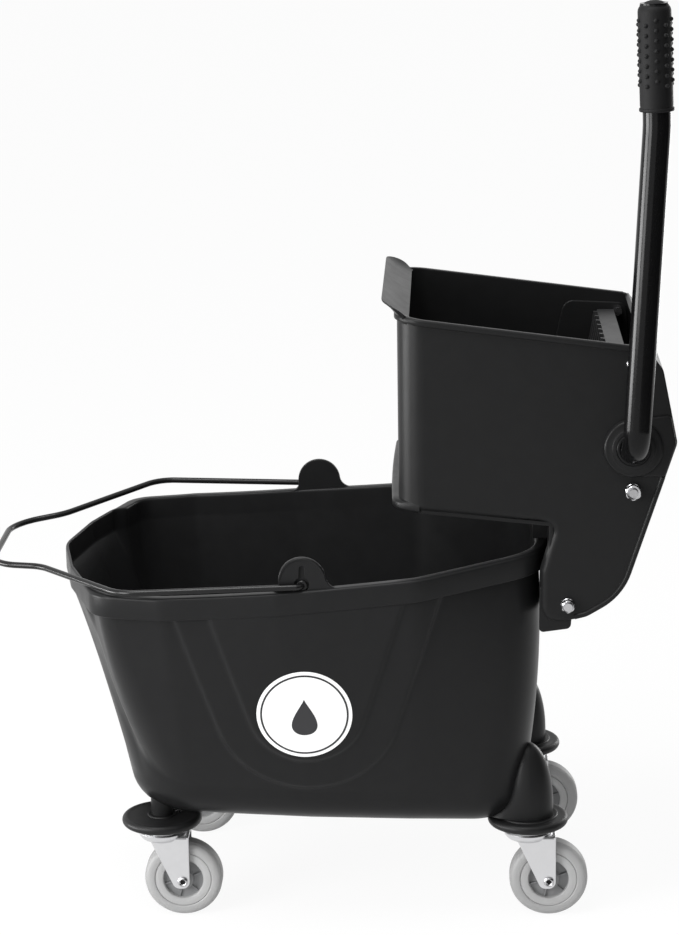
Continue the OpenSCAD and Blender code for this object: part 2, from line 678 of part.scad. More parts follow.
// Flared lip over the front wall, with round ends
module lip() {
  root = [-basket_front + wringer_wall / 4, basket_top_front - 3 * wringer_wall];
  bend = [-basket_front + wringer_wall / 4, basket_top_front];
  tip = [-basket_front - lip_reach, basket_top_front + lip_rise];
  intersection() {
    slab(-wringer_half, wringer_half)
      polygon(strip(rounded_path([tip, bend, root], [0, 2 * wringer_wall, 0]), wringer_wall));
    plan_prism(lip_reach, 0);
  }
}
// Raised bands, bead and axle boss on the outside of the walls
module wall_bands() {
  band_end = back_points[4] - [wringer_wall, 0];
  foot_end = [-cheek, floor_back + wringer_wall];
  lift = [0, foot_band];
  on_walls(bead_out, bead_out, wringer_wall / 2) polygon([front_top - [2 * bead_out, 0],
    front_top - [2 * bead_out, top_band], band_end - [0, top_band], band_end]);
  on_walls(foot_out, bead_out / 2, wringer_wall / 2) polygon([front_foot - [2 * foot_out, 0], foot_end,
    foot_end + lift, front_foot - [2 * foot_out, 0] + lift]);
}
module side_trim() {
  face = wringer_half - wringer_wall / 4;
  edge = concat([[-cheek, -skirt_drop]], back_points);
  slab(face, wringer_half + bead_out)
    polygon(strip(rounded_path(edge, concat([0], back_rounds)), bead_w));
  slab(face, wringer_half + axle_boss_out / 2) polygon([axle_at + [0, axle_boss_r],
    [tail_x - bead_w, tail_z + axle_boss_r / 2], [tail_x - bead_w, tail_z - axle_boss_r / 3],
    idler_at + [0, -washer_r], idler_at - [washer_r, 0]]);
  rod(axle_at, axle_boss_r, face, wringer_half + axle_boss_out);
}
module rod_holes() {
  for (at = [idler_at, lower_rod_at, stop_at]) rod(at, rod_r, -2 * wringer_half, 2 * wringer_half);
  rod(axle_at, tube_r + bush_wall, -2 * wringer_half, 2 * wringer_half);
  rod(pivot_at, pivot_r, -wringer_in - wringer_wall / 2, wringer_in + wringer_wall / 2);
}
module drain_slots() {
  count = floor((plate_half - drain_pitch) / drain_pitch);
  from = -basket_front + 6 * wringer_wall;
  for (k = [-count:count])
    translate([from, k * drain_pitch - drain_w / 2, floor_back - overrun])
      cube([-from - 8 * wringer_wall, drain_w, floor_front]);
}
module seat_ribs() {
  for (side = [-1, 1], share = seat_rib_shares)
    translate([0, side * share * wringer_half - seat_rib / 2, 0]) slab(0, seat_rib)
      polygon([[-8 * wringer_wall, seat_gap], [saddle_x + wringer_wall / 2, seat_gap],
        [saddle_x + wringer_wall / 2, floor_back + wringer_wall / 2],
        [-8 * wringer_wall, floor_back + wringer_wall]]);
}
module wringer_basket() {
  color("#17181a") on_rear_rim() difference() {
    union() {
      basket_walls();
      lip();
      wall_bands();
      both_sides() {
        side_trim();
        rod(pivot_at, knuckle_r, wringer_in - boss_in, wringer_half - wringer_wall / 2);
      }
      seat_ribs();
    }
    rod_holes();
    drain_slots();
  }
}
module axle_bush(side) {
  flange = bush_wall;
  face = wringer_half + axle_boss_out;
  color("#303234") on_rear_rim() mirror([0, side < 0 ? 1 : 0, 0]) difference() {
    union() {
      rod(axle_at, tube_r + bush_wall, wringer_in, face);
      rod(axle_at, tube_r + 2 * bush_wall, face, face + flange);
    }
    rod(axle_at, tube_r + run_gap, wringer_in - overrun, face + flange + overrun);
  }
}
module tie_rod(at, out) {
  end = wringer_half + out + washer_t + nut_h + rod_r / 2;
  color("#c9ccd0") on_rear_rim() rod(at, rod_r, -end, end);
}
// Short bolts through the side walls, which stop the press plate's flange
module stop_bolts() {
  end = wringer_half + washer_t + nut_h + rod_r / 2;
  color("#c9ccd0") on_rear_rim() both_sides() rod(stop_at, rod_r, plate_half - 2 * rod_r, end);
}
module at_rod_ends() {
  both_sides() {
    translate([idler_at.x, wringer_half + boss_under_idler, idler_at.y]) children();
    translate([lower_rod_at.x, wringer_half, lower_rod_at.y]) children();
    translate([stop_at.x, wringer_half, stop_at.y]) children();
  }
}
module tie_washers() {
  color("#b4b7bb") on_rear_rim() at_rod_ends() rotate([-90, 0, 0]) difference() {
    cylinder(h = washer_t, r = washer_r);
    translate([0, 0, -overrun]) cylinder(h = washer_t + 2 * overrun, r = rod_r);
  }
}
module tie_nuts() {
  color("#d2d4d7") on_rear_rim() at_rod_ends() rotate([-90, 0, 0]) translate([0, 0, washer_t]) difference() {
    cylinder(h = nut_h, r = nut_af / 2 / cos(30), $fn = 6);
    translate([0, 0, -overrun]) cylinder(h = nut_h + 2 * overrun, r = rod_r);
  }
}
module plate_pivot_rod() {
  end = wringer_in + wringer_wall / 2;
  color("#b4b7bb") on_rear_rim() rod(pivot_at, pivot_r, -end, end);
}

// Lever
module lever_tube() {
  color("#141516") on_rear_rim() difference() {
    bent_bar(lever_path, lever_bends, tube_r);
    bent_bar(lever_bore, lever_bends, tube_r - tube_wall);
  }
}
module lever_grip() {
  ring = grip_len / (nub_rings + 2);
  d = unit(lever_tip - lever_knee);
  color("#1f2022") on_rear_rim() translate(lever_tip + bush_wall * d)
    rotate([0, lever_lean - lever_bend, 0]) rotate([180, 0, 0]) difference() {
      rotate_extrude() polygon(concat([[0, 0], [grip_r - bush_wall, 0], [grip_r, bush_wall]],
        [for (k = [1:nub_rings]) each [[grip_r, ring * (k + 0.2)], [grip_r + nub_h, ring * (k + 0.4)],
          [grip_r + nub_h, ring * (k + 0.6)], [grip_r, ring * (k + 0.8)]]],
        [[grip_r, grip_len - bush_wall], [grip_r + nub_h, grip_len - bush_wall], [grip_r + nub_h, grip_len],
         [0, grip_len]]));
      translate([0, 0, bush_wall]) cylinder(h = grip_len + overrun, r = tube_r);
    }
}
module axle_cap() {
  color("#1f2022") on_rear_rim() {
    rod(axle_at, tube_r + bush_wall, lever_far + seat_gap, lever_far + seat_gap + bush_wall);
    rod(axle_at, tube_r - tube_wall, lever_far - 4 * bush_wall, lever_far + seat_gap + bush_wall);
  }
}

// Gears: the flank is an involute of the base circle
function roll(t) = t * 180 / PI - atan(t);
function flank_angle(base, r) = r <= base ? 0 : roll(sqrt(pow(r / base, 2) - 1));
function tooth_half(teeth) = 90 / teeth + tan(pressure_angle) * 180 / PI - pressure_angle
  - gear_play / (gear_module * teeth) * 90 / PI;
function tooth_points(teeth, at) =
  let (r = gear_module * teeth / 2, base = r * cos(pressure_angle), root = r - 1.25 * gear_module,
    low = max(base, root), high = r + gear_module * 0.94, half = tooth_half(teeth),
    radii = [for (k = [0:flank_steps]) mix(low, high, k / flank_steps)])
  concat([root * [cos(at - half), sin(at - half)]],
    [for (q = radii) let (a = at - half + flank_angle(base, q)) q * [cos(a), sin(a)]],
    [for (k = [flank_steps:-1:0]) let (q = radii[k], a = at + half - flank_angle(base, q))
      q * [cos(a), sin(a)]],
    [root * [cos(at + half), sin(at + half)]]);
module gear_outline(teeth, phase) {
  polygon([for (k = [0:teeth - 1]) each tooth_points(teeth, phase + 360 * k / teeth)]);
}
module pinion(side) {
  y0 = side < 0 ? -gear_y - gear_t : gear_y;
  color("#6f7276") on_rear_rim() difference() {
    union() {
      translate([axle_x, 0, axle_z]) slab(y0, y0 + gear_t) gear_outline(pinion_teeth, pinion_phase);
      rod(axle_at, tube_r + 2 * bush_wall, y0 + (side < 0 ? 0 : -gear_t), y0 + (side < 0 ? 2 : 1) * gear_t);
    }
    rod(axle_at, tube_r, y0 - overrun - gear_t, y0 + 2 * gear_t + overrun);
  }
}
module idler(side) {
  y0 = side < 0 ? -gear_y - gear_t : gear_y;
  color("#6f7276") on_rear_rim() difference() {
    translate([idler_at.x, 0, idler_at.y]) slab(y0, y0 + gear_t) gear_outline(idler_teeth, idler_phase);
    rod(idler_at, rod_r + run_gap, y0 - overrun, y0 + gear_t + overrun);
  }
}
// The quadrant's working teeth lie below the line to the idler, one turn of the press
module quadrant(side) {
  y0 = side < 0 ? -gear_y - gear_t : gear_y;
  step = 360 / quadrant_teeth;
  first = -ceil(quadrant_turn / step) - quadrant_span + 2;
  last = quadrant_span - 2;
  color("#6f7276") on_rear_rim() difference() {
    union() {
      translate([pivot_at.x, 0, pivot_at.y]) slab(y0, y0 + gear_t) polygon(concat([[0, 0]],
        [for (k = [first:last]) each tooth_points(quadrant_teeth, quadrant_phase + step * k)]));
      rod(pivot_at, knuckle_r, y0, y0 + gear_t);
    }
    rod(pivot_at, pivot_r + run_gap, y0 - overrun, y0 + gear_t + overrun);
  }
}

// Press plate: a curved scoop that stands up from its pivot
function plate_point(s, off) = let (a = plate_lean + plate_sweep * (1 - s), first = plate_lean + plate_sweep)
  plate_base + plate_bend * [cos(a) - cos(first), sin(first) - sin(a)] + off * [cos(a), -sin(a)];
function plate_band(off0, off1, s0, s1) = concat(
  [for (k = [0:2 * arc_steps]) plate_point(mix(s0, s1, k / (2 * arc_steps)), off0)],
  [for (k = [2 * arc_steps:-1:0]) plate_point(mix(s0, s1, k / (2 * arc_steps)), off1)]);
module press_plate() {
  top = plate_point(1, 0);
  flange_end = stop_at.x - rod_r - seat_gap;
  count = floor((plate_half - rib_pitch / 2) / rib_pitch);
  color("#4c4f52") on_rear_rim() difference() {
    union() {
      slab(-plate_half, plate_half) polygon(plate_band(0, plate_t, 0, 1));
      for (k = [-count:count])
        translate([0, k * rib_pitch, 0]) slab(-rib_t / 2, rib_t / 2)
          polygon(plate_band(-rib_h, plate_t / 2, rib_foot_share, 1));
      slab(-plate_half, plate_half) polygon([top, [flange_end, top.y], [flange_end, top.y - plate_t],
        top - [0, plate_t]]);
      rod(pivot_at, knuckle_r, -plate_half, plate_half);
    }
    rod(pivot_at, pivot_r + run_gap, -plate_half - overrun, plate_half + overrun);
  }
}

placed() bucket_shell();
for (i = [0:len(caster_places) - 1]) {
  placed() bumper(i);
  placed() stem(i);
  placed() fork(i);
  placed() wheel_axle(i);
  placed() tyre(i);
  placed() hub(i);
  placed() wheel_bush(i);
}
placed() bail_wire();
placed() wringer_basket();
placed() axle_bush(-1);  // axle_bush_left
placed() axle_bush(1);  // axle_bush_right
placed() tie_rod(idler_at, boss_under_idler);  // idler_shaft
placed() tie_rod(lower_rod_at, 0);  // lower_tie_rod
placed() stop_bolts();
placed() tie_nuts();
placed() tie_washers();
placed() plate_pivot_rod();
placed() lever_tube();
placed() lever_grip();
placed() axle_cap();
placed() pinion(-1);  // pinion_left
placed() pinion(1);  // pinion_right
placed() idler(-1);  // idler_left
placed() idler(1);  // idler_right
placed() press_plate();
placed() quadrant(-1);  // quadrant_left
placed() quadrant(1);  // quadrant_right
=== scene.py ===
"""Looks of a mop bucket on casters with a side press wringer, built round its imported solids."""

import json
import math

import bmesh
import bpy
import numpy as np
from bpy.props import FloatProperty, FloatVectorProperty, IntProperty, PointerProperty
from mathutils import Matrix, Vector
from mathutils.bvhtree import BVHTree
from mathutils.geometry import tessellate_polygon


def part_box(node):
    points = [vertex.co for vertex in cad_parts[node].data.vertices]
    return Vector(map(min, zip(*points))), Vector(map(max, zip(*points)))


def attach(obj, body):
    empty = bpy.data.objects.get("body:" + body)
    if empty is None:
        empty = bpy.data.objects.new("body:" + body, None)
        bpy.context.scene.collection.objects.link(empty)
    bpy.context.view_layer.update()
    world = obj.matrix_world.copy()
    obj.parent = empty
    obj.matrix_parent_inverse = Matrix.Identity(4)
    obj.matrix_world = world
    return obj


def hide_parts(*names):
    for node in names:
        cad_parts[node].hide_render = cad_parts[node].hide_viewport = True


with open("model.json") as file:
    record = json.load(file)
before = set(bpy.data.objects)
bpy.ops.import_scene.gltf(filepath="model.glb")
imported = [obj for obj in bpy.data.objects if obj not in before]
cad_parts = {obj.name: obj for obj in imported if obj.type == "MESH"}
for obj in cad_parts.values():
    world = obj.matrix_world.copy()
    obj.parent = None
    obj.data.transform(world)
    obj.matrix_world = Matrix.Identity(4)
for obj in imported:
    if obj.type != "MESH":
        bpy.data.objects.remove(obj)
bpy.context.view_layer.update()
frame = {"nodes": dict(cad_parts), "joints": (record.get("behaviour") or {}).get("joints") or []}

bl_info = {
    "name": "Mop bucket with side press wringer",
    "version": (1, 0, 0),
    "blender": (4, 5, 0),
    "location": "3D View > Sidebar > Mop bucket",
    "description": "Makes the tub, casters, bail, wringer and lever of a mop bucket round its solids",
    "category": "Object",
}

MM = 0.001
CORNERS = ("front_left", "front_right", "rear_left", "rear_right")
JOINTS = {joint["name"]: joint for joint in frame["joints"]}


def joint_at(name):
    """Place of a joint, in millimetres."""
    return np.array(JOINTS[name]["pos_m"]) / MM


def node_box(name):
    """Lowest and highest corner of a solid, in millimetres."""
    low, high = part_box(name)
    return np.array(low) / MM, np.array(high) / MM


def half_span(name, axis):
    """Half of a solid's extent along an axis, in millimetres."""
    low, high = node_box(name)
    return (high[axis] - low[axis]) / 2


MIDDLE_X = float(np.mean([joint_at("swivel_" + corner)[0] for corner in CORNERS]))
AXLE = joint_at("lever_pivot")
BAIL = joint_at("bail_swing")
WHEEL_R = joint_at("roll_front_left")[2]


# Settings

def length(label, note, default, low=0.0, high=1.0):
    """A length setting, in metres."""
    return FloatProperty(name=label, description=note, default=default, min=low, max=high,
                         subtype="DISTANCE", unit="LENGTH", precision=4)


def tint(label, note, default):
    """A colour setting."""
    return FloatVectorProperty(name=label, description=note, default=default, size=3,
                               min=0.0, max=1.0, subtype="COLOR")


def number(label, note, default, low, high):
    """A setting that counts like details."""
    return IntProperty(name=label, description=note, default=default, min=low, max=high)


def power(label, note, default):
    """The power of a light, in watts."""
    return FloatProperty(name=label, description=note, default=default, min=0.0, unit="POWER")


class TubSettings(bpy.types.PropertyGroup):
    """Sizes and colours of the tub, its bumpers and its bail."""

    rim_height: length("Rim height", "Height of the rim's front half above the floor", 0.347)
    rim_rise: length("Rim rise", "How much higher the rim stands at the rear", 0.026)
    band_height: length("Band height", "Height of the turned-down rim band", 0.022)
    wall: length("Wall", "Thickness of the tub's wall", 0.004)
    panel_step: length("Panel step", "Height of each raised step of the side panels", 0.0036, 0.0, 0.006)
    wire_radius: length("Wire radius", "Radius of the bail's wire", 0.003)
    plastic: tint("Tub plastic", "Colour of the moulded tub", (0.0105, 0.0106, 0.0109))
    rubber: tint("Bumper rubber", "Colour of the bumpers", (0.0085, 0.0085, 0.0088))
    wire: tint("Bail wire", "Colour of the coated wire", (0.006, 0.006, 0.0062))
    label_paper: tint("Label", "Colour of the round label", (0.80, 0.80, 0.80))
    label_ink: tint("Label ink", "Colour of the label's ring and drop", (0.02, 0.02, 0.022))


class CasterSettings(bpy.types.PropertyGroup):
    """Sizes and colours of the casters."""

    tyre_width: length("Tyre width", "Width of a tyre", 0.024)
    hub_radius: length("Hub radius", "Radius where the tyre meets its hub", 0.0276)
    dish_radius: length("Dish radius", "Radius of the hub's sunk middle", 0.0194)
    hub_ribs: number("Hub ribs", "Number of ribs in the hub's sunk middle", 6, 0, 12)
    tyre: tint("Tyre", "Colour of the tyres", (0.30, 0.30, 0.30))
    hub: tint("Hub", "Colour of the hubs' outer ring", (0.34, 0.34, 0.34))
    # Painted shade: the sunk middle is coloured darker than the hub's ring, for the shade in its recess.
    dish: tint("Hub middle", "Colour of the hubs' sunk middle", (0.17, 0.172, 0.175))
    zinc: tint("Zinc", "Colour of the zinc-plated forks", (0.66, 0.66, 0.67))
    steel: tint("Steel", "Colour of rivets, nuts and washers", (0.5, 0.5, 0.51))
    # Painted shade: the dark colour of the plugs that stand in for the shade inside the hollow axles.
    bore: tint("Axle bore", "Colour of the dark ends of the hollow axles", (0.012, 0.012, 0.012))
    bush: tint("Bush", "Colour of the bushes in the hubs", (0.42, 0.42, 0.41))


class WringerSettings(bpy.types.PropertyGroup):
    """Sizes and colours of the wringer."""

    half_width: length("Half width", "Half width over the side walls", 0.135)
    wall: length("Wall", "Thickness of the walls", 0.004)
    corner_radius: length("Corner radius", "Radius of the upright front corners", 0.026)
    lip_reach: length("Lip reach", "Reach of the flared lip ahead of the front wall", 0.014)
    lip_rise: length("Lip rise", "Rise of the flared lip", 0.014)
    bead: length("Bead", "How far the rim bead stands out", 0.0028)
    plastic: tint("Wringer plastic", "Colour of the moulded wringer", (0.0095, 0.0096, 0.0098))
    gears: tint("Gears", "Colour of the gears", (0.12, 0.122, 0.125))
    press: tint("Press plate", "Colour of the press plate", (0.0125, 0.0128, 0.0132))


class LeverSettings(bpy.types.PropertyGroup):
    """Sizes and colours of the lever."""

    tube_radius: length("Tube radius", "Outer radius of the tube", 0.0127)
    grip_radius: length("Grip radius", "Outer radius of the grip between its nubs", 0.0149)
    grip_length: length("Grip length", "Length of the grip", 0.098)
    nub_pitch: length("Nub pitch", "Spacing of the nubs along the grip", 0.0089)
    nub_columns: number("Nub columns", "Number of nubs round the grip", 10, 4, 16)
    paint: tint("Tube paint", "Colour of the glossy tube", (0.004, 0.004, 0.0042))
    rubber: tint("Grip rubber", "Colour of the grip", (0.007, 0.007, 0.0073))


class StageSettings(bpy.types.PropertyGroup):
    """Floor and light."""

    floor: tint("Floor", "Colour of the floor", (0.93, 0.93, 0.93))
    key_power: power("Key light", "Power of the large light at the left", 36.0)
    side_power: power("Side softbox", "Power of the softbox that gives edges their gloss", 52.0)
    top_power: power("Top light", "Power of the light overhead", 40.0)
    rim_power: power("Rim softbox", "Power of the softbox behind at the right", 17.0)
    surround: FloatProperty(name="Surround", description="Strength of the even light all round",
                            default=0.6, min=0.0, max=1.0, subtype="FACTOR")


SETTINGS = {
    "bucket_tub": TubSettings,
    "bucket_casters": CasterSettings,
    "bucket_wringer": WringerSettings,
    "bucket_lever": LeverSettings,
    "bucket_stage": StageSettings,
}


def settings(name):
    """One group of settings of the scene."""
    return getattr(bpy.context.scene, name)


# Vectors, outlines and rings of points, all in millimetres

def unit(v):
    """A vector of length one."""
    v = np.asarray(v, float)
    return v / np.linalg.norm(v)


def units(rows):
    """Rows of vectors, each of length one."""
    return rows / np.linalg.norm(rows, axis=1)[:, None]


def mix(a, b, s):
    """What lies between a and b, by a share."""
    return np.asarray(a) * (1 - s) + np.asarray(b) * s


def smooth(t):
    """A soft step from 0 to 1."""
    t = np.clip(t, 0.0, 1.0)
    return t * t * (3 - 2 * t)


def full_turn(count):
    """Even angles all the way round."""
    return np.linspace(0, 2 * math.pi, count, endpoint=False)


def bend(a, p, b, radius, step):
    """Points of a round bend at p between a and b."""
    u, v = unit(a - p), unit(b - p)
    half = math.acos(np.clip(u @ v, -1.0, 1.0)) / 2
    turn = math.pi - 2 * half
    if radius <= 0 or turn < 1e-4:
        return [p]
    centre = p + unit(u + v) * radius / math.sin(half)
    first = p + u * radius / math.tan(half) - centre
    last = p + v * radius / math.tan(half) - centre
    count = max(2, math.ceil(math.degrees(turn) / step))
    shares = np.linspace(0.0, 1.0, count + 1)
    return [centre + (math.sin((1 - s) * turn) * first + math.sin(s * turn) * last) / math.sin(turn)
            for s in shares]


def bent_path(points, radii, step=5.0):
    """An open path with round bends."""
    points = [np.asarray(p, float) for p in points]
    path = [points[0]]
    for i in range(1, len(points) - 1):
        path += bend(points[i - 1], points[i], points[i + 1], radii[i], step)
    return np.array(path + [points[-1]])


def rounded(points, radii, step=8.0):
    """A closed outline with round corners, running anticlockwise."""
    points = [np.asarray(p, float) for p in points]
    n = len(points)
    outline = []
    for i in range(n):
        outline += bend(points[i - 1], points[i], points[(i + 1) % n], radii[i], step)
    outline = np.array(outline)
    return outline if area(outline) > 0 else outline[::-1]


def area(outline):
    """Area of an outline, positive if it runs anticlockwise."""
    x, y = outline[:, 0], outline[:, 1]
    return 0.5 * float(np.sum(x * np.roll(y, -1) - y * np.roll(x, -1)))


def circle(radius, count):
    """A closed round outline about the origin, running anticlockwise."""
    t = full_turn(count)
    return radius * np.stack([np.cos(t), np.sin(t)], 1)


def inset(outline, depth):
    """An outline moved to its left, which is inwards if it runs anticlockwise."""
    before = units(outline - np.roll(outline, 1, 0))
    after = np.roll(before, -1, 0)
    left_before = np.stack([-before[:, 1], before[:, 0]], 1)
    left_after = np.stack([-after[:, 1], after[:, 0]], 1)
    spread = 1 + np.sum(left_before * left_after, 1)
    return outline + depth * ((left_before + left_after) / spread[:, None])


def loft(rings, loop=False, caps=True):
    """A skin through rings of points; loop joins the last ring to the first."""
    rings = np.asarray(rings, float)
    m, n = rings.shape[:2]
    faces = []
    for k in range(m if loop else m - 1):
        low, high = k * n, (k + 1) % m * n
        faces += [(low + i, low + (i + 1) % n, high + (i + 1) % n, high + i) for i in range(n)]
    if caps and not loop:
        faces.append(tuple(range(n - 1, -1, -1)))
        faces.append(tuple(range((m - 1) * n, m * n)))
    return rings.reshape(-1, 3), faces


def lathe(profile, origin, axis=(0, 0, 1), turns=72, loop=False):
    """A turned form: its profile gives radius and height along the axis."""
    axis = unit(axis)
    across = unit(np.cross(axis, (0.3, 1.0, 0.2) if abs(axis[1]) < 0.9 else (1.0, 0.2, 0.3)))
    other = np.cross(axis, across)
    t = full_turn(turns)
    rim = np.cos(t)[:, None] * across + np.sin(t)[:, None] * other
    rings = [np.asarray(origin) + h * axis + r * rim for r, h in profile]
    return loft(rings, loop)


def sweep(path, radius, sides):
    """A round bar along a path."""
    path = np.asarray(path, float)
    tangents = np.gradient(path, axis=0)
    t = full_turn(sides)
    normal = np.cross(tangents[0], (0.31, 0.52, 0.79))
    rings = []
    for p, d in zip(path, tangents):
        d = unit(d)
        normal = unit(normal - (normal @ d) * d)
        rings.append(p + radius * (np.cos(t)[:, None] * normal + np.sin(t)[:, None] * np.cross(d, normal)))
    return loft(rings)


def ribbon(path, across, out, profile):
    """A moulding along a path. Its profile, or one for each point, gives distances in two directions."""
    rings = []
    for i, p in enumerate(path):
        shape = profile[i] if np.ndim(profile) == 3 else profile
        rings.append([p + a * across[i] + b * out[i] for a, b in shape])
    return loft(rings)


def plate(outlines, low, high, place, edge=0.8, steps=3):
    """A flat piece with round edges. The first outline is its edge and the others are holes."""
    loops = [np.asarray(o, float) for o in outlines]
    loops = [o if (area(o) > 0) == (i == 0) else o[::-1] for i, o in enumerate(loops)]
    turns = np.linspace(0, math.pi / 2, steps + 1)
    levels = [(edge * (1 - math.sin(a)), low + edge * (1 - math.cos(a))) for a in turns]
    levels += [(edge * (1 - math.sin(a)), high - edge * (1 - math.cos(a))) for a in turns[::-1]]
    verts, faces, starts = [], [], []
    base = 0
    for o in loops:
        rings = [[place(x, y, h) for x, y in inset(o, d)] for d, h in levels]
        v, f = loft(rings, caps=False)
        faces += [tuple(base + i for i in q) for q in f]
        starts.append((base, base + (len(levels) - 1) * len(o), len(o)))
        verts.append(v)
        base += len(v)
    flat = [[Vector((x, y, 0)) for x, y in inset(o, edge)] for o in loops]
    index = [(s, k) for s, (_, _, n) in enumerate(starts) for k in range(n)]
    for tri in tessellate_polygon(flat):
        picked = [index[i] for i in tri]
        faces.append(tuple(starts[s][0] + k for s, k in picked))
        faces.append(tuple(starts[s][1] + k for s, k in reversed(picked)))
    return np.concatenate(verts), faces


def mirrored(part):
    """The same form on the other side of the centre plane."""
    verts, faces = part
    return verts * np.array([1, -1, 1]), [tuple(reversed(f)) for f in faces]


def both(part):
    """A form and its mirror image."""
    return [part, mirrored(part)]


def upright(x, z, h):
    """Place of a point of an outline that is drawn as seen from the side."""
    return x, h, z


# Objects

MERGE_GAP, SHORT_EDGE = 1e-7, 1e-8
SHARP = 38.0


def raw_object(name, parts):
    """A mesh object from parts in millimetres, with its faces turned outwards."""
    verts, faces = [], []
    base = 0
    for v, f in parts:
        verts += (np.asarray(v) * MM).tolist()
        faces += [tuple(base + i for i in q) for q in f]
        base = len(verts)
    mesh = bpy.data.meshes.new(name)
    mesh.from_pydata(verts, [], faces)
    mesh.validate()
    form = bmesh.new()
    form.from_mesh(mesh)
    bmesh.ops.remove_doubles(form, verts=form.verts, dist=MERGE_GAP)
    bmesh.ops.dissolve_degenerate(form, edges=form.edges, dist=SHORT_EDGE)
    bmesh.ops.recalc_face_normals(form, faces=form.faces)
    form.to_mesh(mesh)
    form.free()
    made = bpy.data.objects.new(name, mesh)
    bpy.context.scene.collection.objects.link(made)
    return made


def settle(made, modifiers):
    """Applies modifiers, given as type and values, and keeps the result as the object's mesh."""
    for kind, values in modifiers:
        modifier = made.modifiers.new(kind.lower(), kind)
        for key, value in values.items():
            setattr(modifier, key, value)
    bpy.context.view_layer.update()
    graph = bpy.context.evaluated_depsgraph_get()
    mesh = bpy.data.meshes.new_from_object(made.evaluated_get(graph))
    made.modifiers.clear()
    old = made.data
    made.data = mesh
    bpy.data.meshes.remove(old)
    if not mesh.polygons:
        raise RuntimeError("nothing is left of " + made.name)
    return made


def discard(made):
    """Removes a form that only served to cut others."""
    mesh = made.data
    bpy.data.objects.remove(made)
    bpy.data.meshes.remove(mesh)


def finish_piece(made, body, material, stands_for=(), sharp=SHARP, flat_faces=False):
    """Shades a piece, gives it its material and lets it ride on its body."""
    mesh = made.data
    mesh.polygons.foreach_set("use_smooth", [True] * len(mesh.polygons))
    mesh.set_sharp_from_angle(angle=math.radians(sharp))
    mesh.materials.clear()
    mesh.materials.append(material)
    if flat_faces:
        made.modifiers.new("even_faces", "WEIGHTED_NORMAL").keep_sharp = True
    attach(made, body)
    if stands_for:
        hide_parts(*stands_for)
    return made


def piece(name, parts, body, material, stands_for=(), sharp=SHARP, flat_faces=False):
    """A piece from its parts; stands_for names the solids that it replaces."""
    return finish_piece(raw_object(name, parts), body, material, stands_for, sharp, flat_faces)


def dress(node, material):
    """Gives its material to a solid that is shown as it is."""
    shown = frame["nodes"][node]
    shown.data.materials.clear()
    shown.data.materials.append(material)


# Materials

GRAIN_SCALE, GRAIN_DEPTH = 900.0, 0.0004
MOULDED = {"relief": 0.10, "specular": 0.12}
PLATED = {"metallic": 1.0, "relief": 0.03}
CASTER = {"variation": 0.05, "relief": 0.08, "specular": 0.4}
PRINTED = {"relief": 0.02, "specular": 0.4}

# The settings and the name of each colour, its roughness, and what differs from a plain finish
FINISHES = {
    "tub_plastic": ("bucket_tub", "plastic", 0.35, MOULDED),
    "wringer_plastic": ("bucket_wringer", "plastic", 0.35, MOULDED),
    "bumper_rubber": ("bucket_tub", "rubber", 0.44, {"relief": 0.12, "specular": 0.2}),
    "zinc_plate": ("bucket_casters", "zinc", 0.34, {**PLATED, "variation": 0.05, "patch": 140.0}),
    "bright_steel": ("bucket_casters", "steel", 0.24, {**PLATED, "variation": 0.06, "patch": 220.0}),
    # Painted shade: a dull dark finish for the plugs inside the axles' ends.
    "bore_shade": ("bucket_casters", "bore", 0.7, {"specular": 0.1}),
    "tyre_rubber": ("bucket_casters", "tyre", 0.52, {**CASTER, "relief": 0.12}),
    "hub_plastic": ("bucket_casters", "hub", 0.45, CASTER),
    # Painted shade: the hub's sunk middle is darker than its ring, for the shade in the recess.
    "dish_plastic": ("bucket_casters", "dish", 0.5, {**CASTER, "variation": 0.08}),
    "bush_nylon": ("bucket_casters", "bush", 0.5, {"variation": 0.05}),
    "label_paper": ("bucket_tub", "label_paper", 0.36, {**PRINTED, "variation": 0.02}),
    "label_ink": ("bucket_tub", "label_ink", 0.4, {**PRINTED, "variation": 0.1}),
    "wire_coat": ("bucket_tub", "wire", 0.25, {"variation": 0.1, "relief": 0.03, "specular": 0.25}),
    "tube_paint": ("bucket_lever", "paint", 0.15,
                   {"variation": 0.08, "relief": 0.015, "specular": 0.15, "rough_spread": 0.03}),
    "grip_rubber": ("bucket_lever", "rubber", 0.6, {"relief": 0.14, "specular": 0.14}),
    "gear_plastic": ("bucket_wringer", "gears", 0.42, {"variation": 0.08, "relief": 0.06}),
    "press_plastic": ("bucket_wringer", "press", 0.48, {"variation": 0.1, "relief": 0.08}),
}


